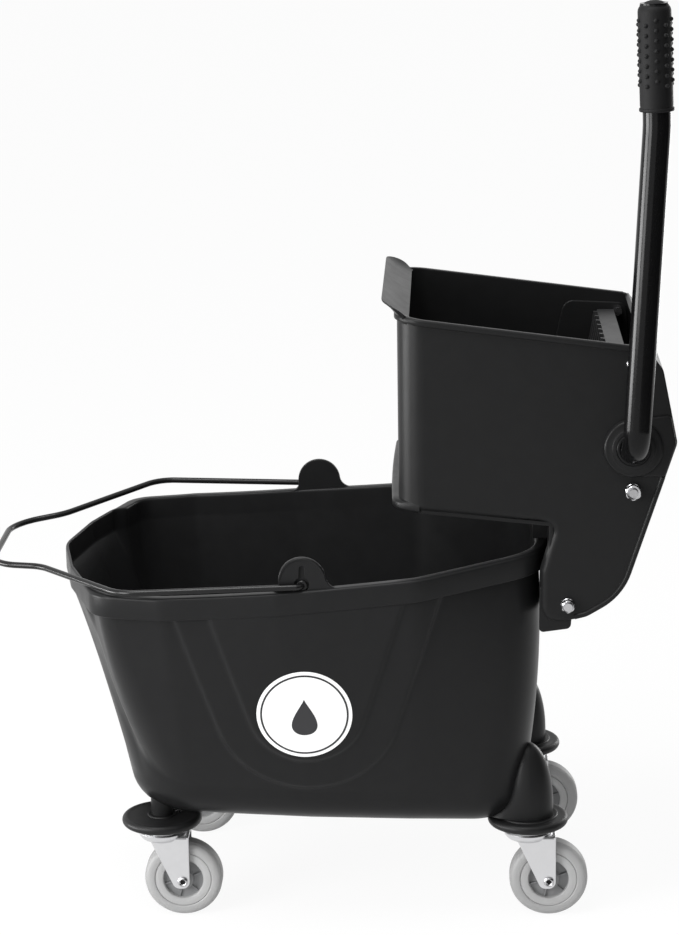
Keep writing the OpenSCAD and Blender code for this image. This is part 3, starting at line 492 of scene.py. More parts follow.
def finish(name, colour, roughness, variation=0.12, patch=60.0, relief=0.05, metallic=0.0,
           specular=0.5, rough_spread=0.08):
    """A moulded, painted or plated surface whose colour, gloss and relief vary a little."""
    name = "mop_bucket_" + name
    found = bpy.data.materials.get(name)
    if found:
        return found
    material = bpy.data.materials.new(name)
    material.use_nodes = True
    tree = material.node_tree
    shader = tree.nodes["Principled BSDF"]
    shader.inputs["Metallic"].default_value = metallic
    shader.inputs["Specular IOR Level"].default_value = specular
    spot = tree.nodes.new("ShaderNodeTexCoord").outputs["Object"]
    patches = tree.nodes.new("ShaderNodeTexNoise")
    patches.inputs["Scale"].default_value = patch
    patches.inputs["Detail"].default_value = 5.0
    patches.inputs["Roughness"].default_value = 0.6
    tree.links.new(spot, patches.inputs["Vector"])
    blend = tree.nodes.new("ShaderNodeMix")
    blend.data_type = "RGBA"
    dark = [c * (1 - variation) for c in colour]
    light = [min(1.0, c * (1 + variation)) for c in colour]
    for socket in blend.inputs:
        if socket.type == "RGBA":
            socket.default_value = (*(dark if socket.name == "A" else light), 1.0)
    tree.links.new(patches.outputs["Fac"], blend.inputs["Factor"])
    tree.links.new(blend.outputs[2], shader.inputs["Base Color"])
    spread = tree.nodes.new("ShaderNodeMapRange")
    spread.inputs["To Min"].default_value = max(0.02, roughness - rough_spread)
    spread.inputs["To Max"].default_value = min(1.0, roughness + rough_spread)
    tree.links.new(patches.outputs["Fac"], spread.inputs["Value"])
    tree.links.new(spread.outputs["Result"], shader.inputs["Roughness"])
    fine = tree.nodes.new("ShaderNodeTexNoise")
    fine.inputs["Scale"].default_value = GRAIN_SCALE
    fine.inputs["Detail"].default_value = 3.0
    tree.links.new(spot, fine.inputs["Vector"])
    bump = tree.nodes.new("ShaderNodeBump")
    bump.inputs["Strength"].default_value = relief
    bump.inputs["Distance"].default_value = GRAIN_DEPTH
    tree.links.new(fine.outputs["Fac"], bump.inputs["Height"])
    tree.links.new(bump.outputs["Normal"], shader.inputs["Normal"])
    return material


def surface(name):
    """One of the finishes, in the colour of its setting."""
    group, colour, roughness, values = FINISHES[name]
    return finish(name, getattr(settings(group), colour), roughness, **values)


# Tub

# Reach of the rim and of the belly to the front, to the rear and to the sides
RIM_FRONT, RIM_REAR, RIM_HALF = 277.0, 197.0, 194.0
BELLY_FRONT, BELLY_REAR, BELLY_HALF = 225.0, 176.0, 150.0
RISE_FROM, RISE_LAG = 184.0, 1.5
RIM_OVER = 8.0
BELLY_Z, BELLY_R = 104.0, 36.0
FLOOR_FALL, FLOOR_DROP = 0.03, 1.0
WALL_BOW = 6.0
BUMPER_TOP = 103.1
# Round stretches of both outlines, row by row, as shares of the reach along and of the half width
RIM_SHARES = ((-0.739, 0.3345, 0.3093), (-0.733, 0.7655, 0.1778), (-0.578, 0.773, 0.222),
              (-0.217, 0.773, 0.227), (0.305, 0.66, 0.289))
BELLY_SHARES = ((-0.622, 0.5, 0.467), (-0.622, 0.633, 0.333), (-0.622, 0.633, 0.333),
                (-0.133, 0.667, 0.333), (0.341, 0.653, 0.333))
# The pouring lip: its half width, how it fades at its ends, and its share of the rim's overhang
SPOUT_HALF, SPOUT_FADE = 128.0, 15.0
SPOUT_LIP = 0.27
# The side panels: middle, slope of the sides, reach and edge of each step, and where the wall turns away
PANEL_AT, PANEL_SLOPE = (-31.5, 234.0), math.radians(17.8)
PANEL_REACH, PANEL_EDGE = (87.5, 55.8), 5.2
PANEL_FACING, PANEL_FADE = 0.5, 0.3
# How finely the tub is made: points of half a ring, rings of the wall and of its lower edge
HALF_POINTS, WALL_STEPS, EDGE_STEPS = 330, 112, 10


def plan_circles(nose, tail, tail_y, shares, front, rear, half):
    """Round stretches of one half of an outline: place along, place across and radius."""
    rows = [(nose * half - front, 0.0, nose * half)]
    rows += [((front if a < 0 else rear) * a, b * half, c * half) for a, b, c in shares]
    rows.append((rear - tail * half, tail_y * half, tail * half))
    return np.array(rows)


RIM_PLAN = plan_circles(0.41, 0.32, 0.438, RIM_SHARES, RIM_FRONT, RIM_REAR, RIM_HALF)
BELLY_PLAN = plan_circles(0.533, 0.36, 0.6, BELLY_SHARES, BELLY_FRONT, BELLY_REAR, BELLY_HALF)
HALF_TURN = np.linspace(0, math.pi, 1201)
HALF_DIRS = np.stack([np.cos(HALF_TURN), np.sin(HALF_TURN)], 1)


def plan_ring(circles, grow, spout=0.0):
    """An outline of the tub as evenly spaced points, from the rear round the right-hand side.

    The pouring lip at the front stands out further by spout."""
    reach = HALF_DIRS @ circles[:, :2].T + circles[:, 2]
    best = circles[reach.argmax(1)]
    half = best[:, :2] + (best[:, 2] + grow)[:, None] * HALF_DIRS
    half = np.concatenate([[[half[0, 0], 0.0]], half])
    run = np.concatenate([[0.0], np.cumsum(np.linalg.norm(np.diff(half, axis=0), axis=1))])
    at = (np.arange(HALF_POINTS) + 0.5) / HALF_POINTS * run[-1]
    points = np.stack([np.interp(at, run, half[:, 0]), np.interp(at, run, half[:, 1])], 1)
    ring = np.concatenate([points, points[::-1] * [1, -1]])
    if spout:
        share = smooth((SPOUT_HALF - np.abs(ring[:, 1])) / SPOUT_FADE + 0.5) * (ring[:, 0] < 0)
        ring = ring + outward(ring) * (spout * share)[:, None]
    return ring


def outward(ring):
    """Directions that point out of an outline."""
    along = np.roll(ring, -1, 0) - np.roll(ring, 1, 0)
    return units(np.stack([along[:, 1], -along[:, 0]], 1))


def rim_height(x):
    """Height of the rim's top edge, which rises to the rear."""
    tub = settings("bucket_tub")
    rise = np.clip((x + RISE_FROM) / (RIM_REAR + RISE_FROM), 0.0, 1.0) ** RISE_LAG
    return tub.rim_height / MM + tub.rim_rise / MM * rise


def floor_fall(x):
    """How far the underside lies above its middle height: it falls a little to the rear."""
    return -FLOOR_DROP - FLOOR_FALL * x


def panelled(ring, z, share=1.0):
    """A ring with a share of the two raised steps of the side panels, which run up under the rim band."""
    step, away = settings("bucket_tub").panel_step / MM, outward(ring)
    dx, dz = ring[:, 0] - PANEL_AT[0], z - PANEL_AT[1]
    side = np.abs(dx) * math.cos(PANEL_SLOPE) - dz * math.sin(PANEL_SLOPE)
    reach = np.hypot(dx, dz)
    in_arc = -dz * math.cos(PANEL_SLOPE) > np.abs(dx) * math.sin(PANEL_SLOPE)
    far = np.where(in_arc, np.maximum(reach, side), side)
    raised = sum(smooth((edge - far) / PANEL_EDGE + 0.5) for edge in PANEL_REACH)
    relief = step * raised * smooth((np.abs(away[:, 1]) - PANEL_FACING) / PANEL_FADE)
    return ring + away * (share * relief)[:, None]


def placed(ring, z):
    """An outline of the tub as points at their heights."""
    return np.column_stack([ring[:, 0] + MIDDLE_X, ring[:, 1], z])


def tub_ring(share, depth):
    """A ring part way up the wall, at a depth below its outer face."""
    circles = mix(BELLY_PLAN, RIM_PLAN, share)
    bow = WALL_BOW * 4 * share * (1 - share)
    lip = (1 - SPOUT_LIP) * (depth + RIM_OVER) * share ** 3
    ring = plan_ring(circles, -depth - RIM_OVER * share + bow, lip - bow)
    band = settings("bucket_tub").band_height / MM
    z = mix(BELLY_Z + BELLY_R + floor_fall(ring[:, 0]), rim_height(ring[:, 0]) - band, share)
    if depth == 0:
        ring = panelled(ring, z)
    return placed(ring, z)


def edge_ring(turn, depth):
    """A ring round the lower edge, at an angle up from the flat underside."""
    ring = plan_ring(BELLY_PLAN, -depth - (BELLY_R - depth) * (1 - math.sin(turn)))
    z = BELLY_Z + BELLY_R - (BELLY_R - depth) * math.cos(turn) + floor_fall(ring[:, 0])
    return placed(ring, z)


def band_ring(grow, drop, raised=0.0):
    """A ring on the rim, below its top edge by drop; raised is the share of the panel's relief."""
    ring = plan_ring(RIM_PLAN, grow, (SPOUT_LIP - 1) * grow)
    z = rim_height(ring[:, 0]) - drop
    if raised > 0:
        ring = panelled(ring, z, raised)
    return placed(ring, z)


def round_edge(grow, drop, radius, start, end, steps):
    """Steps round an edge of the rim band, about a middle, by angles in degrees."""
    turns = np.radians(np.linspace(start, end, steps + 1))
    return [(grow + radius * math.cos(a), drop - radius * math.sin(a), 0.0) for a in turns]


def tub_skin():
    """The whole shell: underside, wall, hollow turned-down rim band, inner wall and inner floor."""
    tub = settings("bucket_tub")
    wall, band = tub.wall / MM, tub.band_height / MM
    inner, fade = -RIM_OVER - wall, 6.0
    turns = np.linspace(0, math.pi / 2, EDGE_STEPS, endpoint=False)
    shares = np.linspace(0, 1, WALL_STEPS)
    drops = np.linspace(band - 2, fade, 5)
    rows = [(-RIM_OVER, drop, (drop - fade) / (band - fade)) for drop in drops]
    rows += [(-RIM_OVER + 0.6, wall + 0.6, 0.0), (-RIM_OVER + 2, wall, 0.0), (-5.0, wall, 0.0),
             (-3.6, wall + 0.6, 0.0), (-3.0, wall + 2, 0.0)]
    rows += [(-3.0, band - 1.4, 0.0)] + round_edge(-1.6, band - 1.4, 1.4, 180, 360, 6)
    rows += [(-0.1, 0.45 * band, 0.0)] + round_edge(-3.5, 3.4, 3.4, 0, 90, 6)
    rows += round_edge(inner + 2.4, 2.4, 2.4, 90, 180, 5)
    rows += [(inner, drop, 0.0) for drop in np.linspace(4, band - 2, 5)]
    rings = [edge_ring(a, 0.0) for a in turns] + [tub_ring(s, 0.0) for s in shares]
    rings += [band_ring(*row) for row in rows]
    rings += [tub_ring(s, wall) for s in shares[::-1]] + [edge_ring(a, wall) for a in turns[::-1]]
    return loft(rings)


def tub_core():
    """What lies inside the middle of the tub's wall."""
    half = settings("bucket_tub").wall / MM / 2
    rings = [edge_ring(a, half) for a in np.linspace(0, math.pi / 2, 8, endpoint=False)]
    return loft(rings + [tub_ring(s, half) for s in np.linspace(0, 1, 24)])


EAR_X, EAR_R, EAR_TOP = -33.0, 22.0, 385.0
EAR_FILLETS = (12.0, 8.0)
EAR_Y, EAR_T = 182.3, 4.6


def keyhole(x, z, radius, low_slot, high_slot, rise):
    """A round hole with a slot above it that narrows upwards."""
    start = math.acos(low_slot / 2 / radius)
    turns = np.linspace(math.pi - start, 2 * math.pi + start, 40)
    ring = np.stack([x + radius * np.cos(turns), z + radius * np.sin(turns)], 1)
    tip = high_slot / 2
    top = [(x + tip * math.cos(a), z + rise - tip + tip * math.sin(a))
           for a in np.linspace(0.0, math.pi, 9)]
    return np.concatenate([ring, top])


def ear_arch():
    """The ear's round top and the two hollow fillets that join it to the rim, from right to left."""
    x, z = EAR_X + MIDDLE_X, EAR_TOP - EAR_R
    ends, fillets = [], []
    for side, r in zip((1, -1), EAR_FILLETS):
        brim = float(rim_height(EAR_X + side * (EAR_R + r))) - 0.4
        rise = brim + r - z
        reach = math.sqrt((EAR_R + r) ** 2 - rise ** 2)
        meet = math.atan2(rise, reach)
        turns = np.linspace(-math.pi / 2, -math.pi + meet, 12)
        fillets.append([(x + side * (reach + r * math.cos(t)), brim + r + r * math.sin(t)) for t in turns])
        ends.append(meet if side > 0 else math.pi - meet)
    turns = np.linspace(ends[0], ends[1], 40)
    top = [(x + EAR_R * math.cos(t), z + EAR_R * math.sin(t)) for t in turns]
    return fillets[0], top, fillets[1][::-1]


def ear_parts():
    """Half-round ears with a raised border and a keyhole pocket for the bail's end."""
    right, top, left = ear_arch()
    foot = settings("bucket_tub").rim_height / MM - 9.0
    outline = np.array([(left[-1][0], foot), (right[0][0], foot), *right, *top[1:-1], *left])
    hole = keyhole(BAIL[0], BAIL[2] + 1.0, radius=6.8, low_slot=5.4, high_slot=4.2, rise=18.0)
    back = plate([outline], EAR_Y, EAR_Y + 2.0, upright)
    front = plate([outline, hole], EAR_Y + 1.0, EAR_Y + EAR_T, upright)
    arch = np.array(top)
    along = units(np.gradient(arch, axis=0))
    inward = np.stack([-along[:, 1], np.zeros(len(along)), along[:, 0]], 1)
    path = np.array([(x, EAR_Y + EAR_T, z) for x, z in arch])
    bead = [(0.5, -0.8), (0.5, 0.3), (0.9, 0.8), (1.8, 0.9), (2.5, 0.5), (2.8, -0.8)]
    fade = smooth(np.minimum(np.arange(len(arch)), len(arch) - 1 - np.arange(len(arch))) / 5.0)
    shapes = np.array([[(q, h - 1.1 * (1 - f)) for q, h in bead] for f in fade])
    border = ribbon(path, inward, np.tile([0.0, 1.0, 0.0], (len(path), 1)), shapes)
    return both(back) + both(front) + both(border)


def post_part(corner):
    """A straight post that flares where it meets the tub above a front bumper."""
    x, y, _ = joint_at("swivel_" + corner)
    profile = [(10.5, BUMPER_TOP), (10.5, 122), (10.7, 128), (11.4, 133), (12.8, 138), (15.0, 142),
               (15.0, 150), (0.0, 152)]
    return lathe([(0.0, BUMPER_TOP)] + profile, (x, y, 0.0), turns=64)


def socket_part(corner):
    """The low dome on the tub's floor over the top of a front caster's stem."""
    x, y, _ = joint_at("swivel_" + corner)
    top = node_box("stem_" + corner)[1][2] + 2.4
    foot = BUMPER_TOP + 2.0
    profile = [(0.0, top), (3.0, top - 0.3), (6.0, top - 1.5), (8.0, top - 3.6), (8.8, top - 6.4),
               (9.0, foot), (0.0, foot)]
    return lathe(profile, (x, y, 0.0), turns=48)


def pod_part(corner):
    """A tall round-topped housing above a rear bumper, which spreads forward at its foot."""
    x, y, _ = joint_at("swivel_" + corner)
    radius, height, foot = 24.5, 72.0, 9.0
    reach, low_part = 22.0, 34.0
    turns = full_turn(96)
    dome = foot + (height - foot) * np.sin(np.linspace(0.04, math.pi / 2 - 0.02, 40))
    rings = []
    for lift in [*np.linspace(0, foot, 4), *dome]:
        rise = max(0.0, (lift - foot) / (height - foot))
        r = radius * math.sqrt(max(0.0, 1 - rise * rise))
        spread = reach * max(0.0, 1 - lift / low_part) ** 2
        stretch = np.maximum(0.0, -np.cos(turns)) ** 2
        out = r + spread * stretch
        rings.append(np.column_stack([x + np.cos(turns) * out, y + np.sin(turns) * r,
                                      np.full(len(turns), BUMPER_TOP + lift)]))
    return loft(rings)


class MOPBUCKET_OT_tub(bpy.types.Operator):
    """Make the tub with its rim band, side panels, ears, posts, rear housings and stem sockets"""

    bl_idname = "mop_bucket.tub"
    bl_label = "Make tub"

    def execute(self, context):
        plastic = surface("tub_plastic")
        piece("tub", [tub_skin()], "bucket", plastic, ("bucket_shell",), sharp=50.0)
        piece("tub_ears", ear_parts(), "bucket", plastic, flat_faces=True)
        core = raw_object("tub_core", [tub_core()])
        parts = {"tub_posts": [post_part(c) for c in CORNERS[:2]],
                 "tub_housings": [pod_part(c) for c in CORNERS[2:]]}
        for name, forms in parts.items():
            made = raw_object(name, forms)
            settle(made, [("BOOLEAN", {"object": core, "operation": "DIFFERENCE", "solver": "EXACT"})])
            finish_piece(made, "bucket", plastic, sharp=50.0)
        discard(core)
        sockets = [socket_part(c) for c in CORNERS[:2]]
        piece("tub_sockets", sockets, "bucket", plastic, sharp=50.0)
        return {"FINISHED"}


LABEL_AT = (-33.4, 229.0)
LABEL_R = 45.0
PAPER_LIFT, INK_LIFT = 0.5, 0.75
RAY_FROM_Y = -0.4


def on_near_wall(tree, x, z, lift):
    """The spot of the tub's near wall at a place seen from the side, lifted off it a little."""
    hit, normal, _, _ = tree.ray_cast(Vector((x * MM, RAY_FROM_Y, z * MM)), Vector((0, 1, 0)))
    if hit is None:
        raise RuntimeError("the label lies beside the tub's wall")
    if normal.y > 0:
        normal = -normal
    return np.array(hit + normal * lift * MM) / MM


def wall_patch(tree, outline, lift, rings):
    """A thin layer on the near wall, inside an outline round the label's middle."""
    cx, cz = LABEL_AT[0] + MIDDLE_X, LABEL_AT[1]
    steps = np.linspace(0, 1, rings + 1)[1:]
    grid = [[on_near_wall(tree, cx + s * a, cz + s * b, lift) for a, b in outline] for s in steps]
    top, faces = loft(grid, caps=False)
    middle = on_near_wall(tree, cx, cz, lift)
    n = len(outline)
    verts = np.concatenate([top, [middle]])
    faces += [(i, (i + 1) % n, len(top)) for i in range(n)]
    back = verts + np.array([0, lift, 0])
    total = len(verts)
    outer = (rings - 1) * n
    faces += [tuple(total + i for i in reversed(f)) for f in faces]
    faces += [(outer + i, outer + (i + 1) % n, total + outer + (i + 1) % n, total + outer + i)
              for i in range(n)]
    return np.concatenate([verts, back]), faces


def wall_band(tree, inner, outer, lift, turns):
    """A thin ring on the near wall round the label's middle."""
    cx, cz = LABEL_AT[0] + MIDDLE_X, LABEL_AT[1]
    rings = [circle(r, turns) for r in np.linspace(inner, outer, 4)]
    front = [[on_near_wall(tree, cx + a, cz + b, lift) for a, b in ring] for ring in rings]
    back = [[p + np.array([0, lift, 0]) for p in ring] for ring in front[::-1]]
    return loft(front + back, loop=True)


def drop_outline(size, count):
    """A drop that stands on its round end."""
    t = full_turn(count)
    width = np.sin(t) * np.sin(t / 2) ** 1.6
    return size * np.stack([0.92 * width, np.cos(t) - 0.12], 1)[::-1]


class MOPBUCKET_OT_label(bpy.types.Operator):
    """Make the plain round label on the near wall, with a thin ring and a water drop"""

    bl_idname = "mop_bucket.label"
    bl_label = "Make label"

    def execute(self, context):
        graph = context.evaluated_depsgraph_get()
        tree = BVHTree.FromObject(bpy.data.objects["tub"], graph)
        paper, ink = surface("label_paper"), surface("label_ink")
        disc = wall_patch(tree, circle(LABEL_R, 160), PAPER_LIFT, 26)
        piece("label", [disc], "bucket", paper)
        marks = [wall_band(tree, LABEL_R - 5.2, LABEL_R - 3.4, INK_LIFT, 160),
                 wall_patch(tree, drop_outline(19.0, 90), INK_LIFT, 12)]
        piece("label_marks", marks, "bucket", ink)
        return {"FINISHED"}


# Casters

COLLAR_FRONT, COLLAR_REAR = 14.2, 29.0
SCREW_AT = (15.4, 6.0)


def bumper_part(corner):
    """A round disc with a full edge and a low collar round its post or housing."""
    x, y, _ = joint_at("swivel_" + corner)
    low, high = node_box("bumper_" + corner)
    top, r = high[2], half_span("bumper_" + corner, 0)
    collar = COLLAR_FRONT if corner.startswith("front") else COLLAR_REAR
    edge = [(r - 4.6 + 4.6 * math.cos(a), top - 5.2 + 4.6 * math.sin(a))
            for a in np.linspace(math.radians(80), math.radians(-50), 12)]
    profile = [(5.6, top - 0.2), (collar - 2.2, top - 0.2), (collar - 1.6, top), (collar - 0.8, top),
               (collar - 0.2, top - 0.5), (collar, top - 1.0), (r - 9.0, top - 1.1), (r - 6.0, top - 1.0)]
    profile += edge + [(r - 3.2, low[2] + 0.5), (r - 4.0, low[2]), (5.6, low[2])]
    return lathe(profile, (x, y, 0.0), turns=96, loop=True)


def screw_part(corner):
    """A small domed screw beside a front post."""
    x, y, _ = joint_at("swivel_" + corner)
    side = 1.0 if corner.endswith("left") else -1.0
    top = node_box("bumper_" + corner)[1][2] - 1.2
    profile = [(0.0, top), (3.0, top), (3.0, top + 0.5), (2.5, top + 1.05), (1.4, top + 1.2),
               (0.0, top + 1.2)]
    return lathe(profile, (x + SCREW_AT[0], y + SCREW_AT[1] * side, 0.0), turns=32)


class MOPBUCKET_OT_bumpers(bpy.types.Operator):
    """Make the four round bumpers and their screws"""

    bl_idname = "mop_bucket.bumpers"
    bl_label = "Make bumpers"

    def execute(self, context):
        for corner in CORNERS:
            name = "bumper_" + corner
            piece("round_" + name, [bumper_part(corner)], "bucket",
                  surface("bumper_rubber"), (name,))
        screws = [screw_part(c) for c in CORNERS[:2]]
        piece("bumper_screws", screws, "bucket", surface("bright_steel"))
        return {"FINISHED"}


def fork_parts(corner):
    """Two tapered cheeks under a pressed swivel cup."""
    x, y, _ = joint_at("swivel_" + corner)
    wheel = joint_at("roll_" + corner)
    half = min(half_span("fork_" + corner, 1), 17.4)
    front, back = -10.0, wheel[0] - x + 6.8
    top, shoulder, foot = 83.9, 79.0, wheel[2] - 7.6
    cheek_t, crown_t = 2.5, 2.5
    leg = rounded([(front, top), (front, shoulder), (back - 14.4, foot), (back, foot), (back, top)],
                  [0.6, 4.0, 7.1, 7.1, 0.6], 6.0)
    cheek = plate([leg], half - cheek_t, half, lambda a, b, h: (x + a, h, b), 0.7)
    bridge = rounded([(front, -half), (back, -half), (back, half), (front, half)], [2.0] * 4)
    crown = plate([bridge], top - crown_t, top, lambda a, b, h: (x + a, b, h))
    cup = lathe([(5.7, 77.4), (14.0, 77.4), (17.4, 78.0), (20.4, 79.6), (22.6, 82.2), (23.7, 84.8),
                 (24.0, 86.0), (23.6, 86.6), (22.6, 86.8), (5.7, 86.8)], (x, 0.0, 0.0), turns=80, loop=True)
    parts = both(cheek) + [crown, cup]
    return [(v + np.array([0.0, y, 0.0]), f) for v, f in parts]


def rivet_part(corner):
    """A hollow axle with a rolled flange at each end."""
    wheel = joint_at("roll_" + corner)
    end, r = half_span("axle_" + corner, 1), 4.0
    side = [(r, 0.0), (r, end - 2.4), (4.6, end - 2.4), (5.0, end - 1.9), (4.9, end - 1.0),
            (4.3, end - 0.3), (3.5, end), (2.8, end - 0.3), (2.3, end - 1.0), (2.1, end - 3.0),
            (2.1, end - 6.0), (0.0, end - 6.2)]
    profile = [(a, -h) for a, h in side[:0:-1]] + side
    return lathe(profile, wheel, (0, 1, 0), turns=48)


def painted_shade_plugs(corner):
    """Dark plugs a little inside each end of the hollow axle: painted shade, standing in for the shade deep
    in its bore.
    """
    wheel = joint_at("roll_" + corner)
    end = half_span("axle_" + corner, 1) - 1.7
    plug = [(0.0, end - 0.6), (2.2, end - 0.6), (2.2, end - 0.1), (1.2, end), (0.0, end)]
    return [lathe(plug, wheel, (0, side, 0), turns=24) for side in (-1, 1)]


class MOPBUCKET_OT_forks(bpy.types.Operator):
    """Make the zinc-plated swivel forks with their cups and hollow axles"""

    bl_idname = "mop_bucket.forks"
    bl_label = "Make forks"

    def execute(self, context):
        for corner in CORNERS:
            body = "fork_" + corner
            zinc = surface("zinc_plate")
            piece("pressed_fork_" + corner, fork_parts(corner), body, zinc, (body,),
                  flat_faces=True)
            piece("rivet_" + corner, [rivet_part(corner)], body, surface("bright_steel"),
                  ("axle_" + corner,))
            # Painted shade: dark plugs inside the hollow axles' ends.
            piece("rivet_bores_" + corner, painted_shade_plugs(corner), body, surface("bore_shade"))
            dress("stem_" + corner, zinc)
        return {"FINISHED"}


def twofold(side):
    """A profile from its half, which is mirrored about the middle of the width."""
    return side + [(r, -h) for r, h in side[::-1]]


def wheel_sizes():
    """Half of the tyre's width, and the radii of its seat on the hub and of the hub's sunk middle."""
    casters = settings("bucket_casters")
    return casters.tyre_width / MM / 2, casters.hub_radius / MM, casters.dish_radius / MM


def tyre_part(centre):
    """The tyre with a fine line beside its tread."""
    (half, seat, _), r = wheel_sizes(), WHEEL_R
    side = [(seat, half - 0.9), (seat + 0.7, half - 0.2), (seat + 1.6, half), (r - 6.2, half),
            (r - 4.4, half - 0.35), (r - 2.6, half - 1.3), (r - 1.3, half - 2.8), (r - 0.75, half - 4.0),
            (r - 0.62, half - 4.5), (r - 0.75, half - 4.9), (r - 0.15, half - 5.5), (r, half - 6.4),
            (r, half - 9.0)]
    return lathe(twofold(side), centre, (0, 1, 0), turns=128, loop=True)


def hub_part(centre):
    """The hub's outer ring, on which the tyre sits."""
    half, seat, dish = wheel_sizes()
    side = [(dish, half - 6.0), (dish, half - 1.6), (dish + 0.5, half - 0.7), (dish + 1.4, half - 0.3),
            (seat - 2.0, half - 0.3), (seat - 0.6, half - 0.6), (seat - 0.15, half - 1.2)]
    return lathe(twofold(side), centre, (0, 1, 0), turns=128, loop=True)


def dish_parts(centre):
    """The hub's sunk middle with its boss and thin ribs."""
    half, _, dish = wheel_sizes()
    ribs = settings("bucket_casters").hub_ribs
    side = [(7.05, half + 1.0), (9.0, half + 1.0), (9.8, half + 0.3), (10.2, half - 3.0), (11.2, half - 4.6),
            (13.0, half - 5.2), (dish - 1.2, half - 5.2), (dish + 0.4, half - 4.2)]
    parts = [lathe(twofold(side), centre, (0, 1, 0), turns=96, loop=True)]
    for k in range(ribs):
        a = 2 * math.pi * (k + 0.3) / ribs
        along = np.array([math.cos(a), 0, math.sin(a)])
        across = np.array([-math.sin(a), 0, math.cos(a)])
        for face in (-1.0, 1.0):
            rings = []
            for r, top in ((9.6, half - 2.4), (dish + 0.3, half - 3.4)):
                section = ((-0.7, half - 6.0), (-0.45, top), (0.45, top), (0.7, half - 6.0))
                rings.append([centre + along * r + across * w + np.array([0, face * h, 0])
                              for w, h in section])
            parts.append(loft(rings))
    return parts


class MOPBUCKET_OT_wheels(bpy.types.Operator):
    """Make the tyres and ribbed hubs"""

    bl_idname = "mop_bucket.wheels"
    bl_label = "Make wheels"

    def execute(self, context):
        nylon = surface("bush_nylon")
        for corner in CORNERS:
            body, centre = "wheel_" + corner, joint_at("roll_" + corner)
            piece("round_tyre_" + corner, [tyre_part(centre)], body, surface("tyre_rubber"),
                  ("tyre_" + corner,))
            piece("hub_ring_" + corner, [hub_part(centre)], body, surface("hub_plastic"),
                  ("hub_" + corner,))
            # Painted shade: the sunk middle's darker colour stands for the shade in its recess.
            piece("hub_dish_" + corner, dish_parts(centre), body, surface("dish_plastic"))
            dress("bush_" + corner, nylon)
        return {"FINISHED"}


# Bail

BAIL_TILT = math.tan(math.radians(2.0))
BAIL_HALF = 190.9
BAIL_BENDS = (0, 6, 38, 38, 38)
FAR_ARM_LIFT = (0.0, 0.0, 10.0, 4.5, 0.0)


class MOPBUCKET_OT_bail(bpy.types.Operator):
    """Make the bent wire bail, whose ends lie in the ears"""

    bl_idname = "mop_bucket.bail"
    bl_label = "Make bail"

    def execute(self, context):
        r, z = settings("bucket_tub").wire_radius / MM, BAIL[2]
        plan = [(BAIL[0], EAR_Y + 2.4), (BAIL[0], BAIL_HALF), (MIDDLE_X - 203.0, BAIL_HALF),
                (MIDDLE_X - 290.0, 88.0), (MIDDLE_X - 342.0, 72.0)]
        near = [(x, -y, z + (x - BAIL[0]) * BAIL_TILT) for x, y in plan]
        far = [(x, -y, z + lift) for (x, y, z), lift in zip(near, FAR_ARM_LIFT)]
        path = bent_path(far + near[::-1], BAIL_BENDS + BAIL_BENDS[::-1], 3.0)
        knob = [(0.0, 0.0), (4.6, 0.0), (5.1, 0.6), (5.1, 2.2), (4.5, 2.9), (0.0, 3.1)]
        knobs = both(lathe(knob, (BAIL[0], EAR_Y + 2.1, z), (0, 1, 0), turns=40))
        piece("bail", [sweep(path, r, 32), *knobs], "bail", surface("wire_coat"),
              ("bail_wire",))
        return {"FINISHED"}


# Wringer. Its places are measured from the top of the tub's rear rim.

REAR_RIM_Z = 373.0
REAR = np.array([MIDDLE_X + RIM_REAR, 0.0, REAR_RIM_Z])
# The front wall with its top and foot, the rear end, the cheek's front, the skirt's foot and the saddle
FRONT_X, TOP_FRONT, FOOT_FRONT = -141.0, 227.0, 41.0
TAIL_X = 119.0
CHEEK = 8.5
SKIRT = -73.0
SADDLE = (-CHEEK, 30.0)
# Corners of the housing's back as seen from the side, from its foot up, and their radii
BACK_POINTS = ((36.0, -62.0), (70.0, -42.0), (119.0, 106.0), (105.0, 176.0), (89.0, 197.0))
BACK_ROUNDS = (24.0, 62.0, 12.0, 16.0, 12.0)
TOP_SLOPE = (BACK_POINTS[-1][1] - TOP_FRONT) / (BACK_POINTS[-1][0] - FRONT_X)
FOOT_SLOPE = (SADDLE[1] - FOOT_FRONT) / (SADDLE[0] - FRONT_X)


def on_wringer(x, z, h):
    """Place of a point of the wringer that is drawn as seen from the side."""
    return REAR + (x, h, z)


def side_faces():
    """Distances of a side wall's outer and inner face from the centre plane."""
    wringer = settings("bucket_wringer")
    return wringer.half_width / MM, wringer.half_width / MM - wringer.wall / MM


def top_line(x):
    """Height of the wringer's top edge."""
    return TOP_FRONT + TOP_SLOPE * (x - FRONT_X)


def foot_line(x):
    """Height of the basket's lower edge."""
    return FOOT_FRONT + FOOT_SLOPE * (x - FRONT_X)


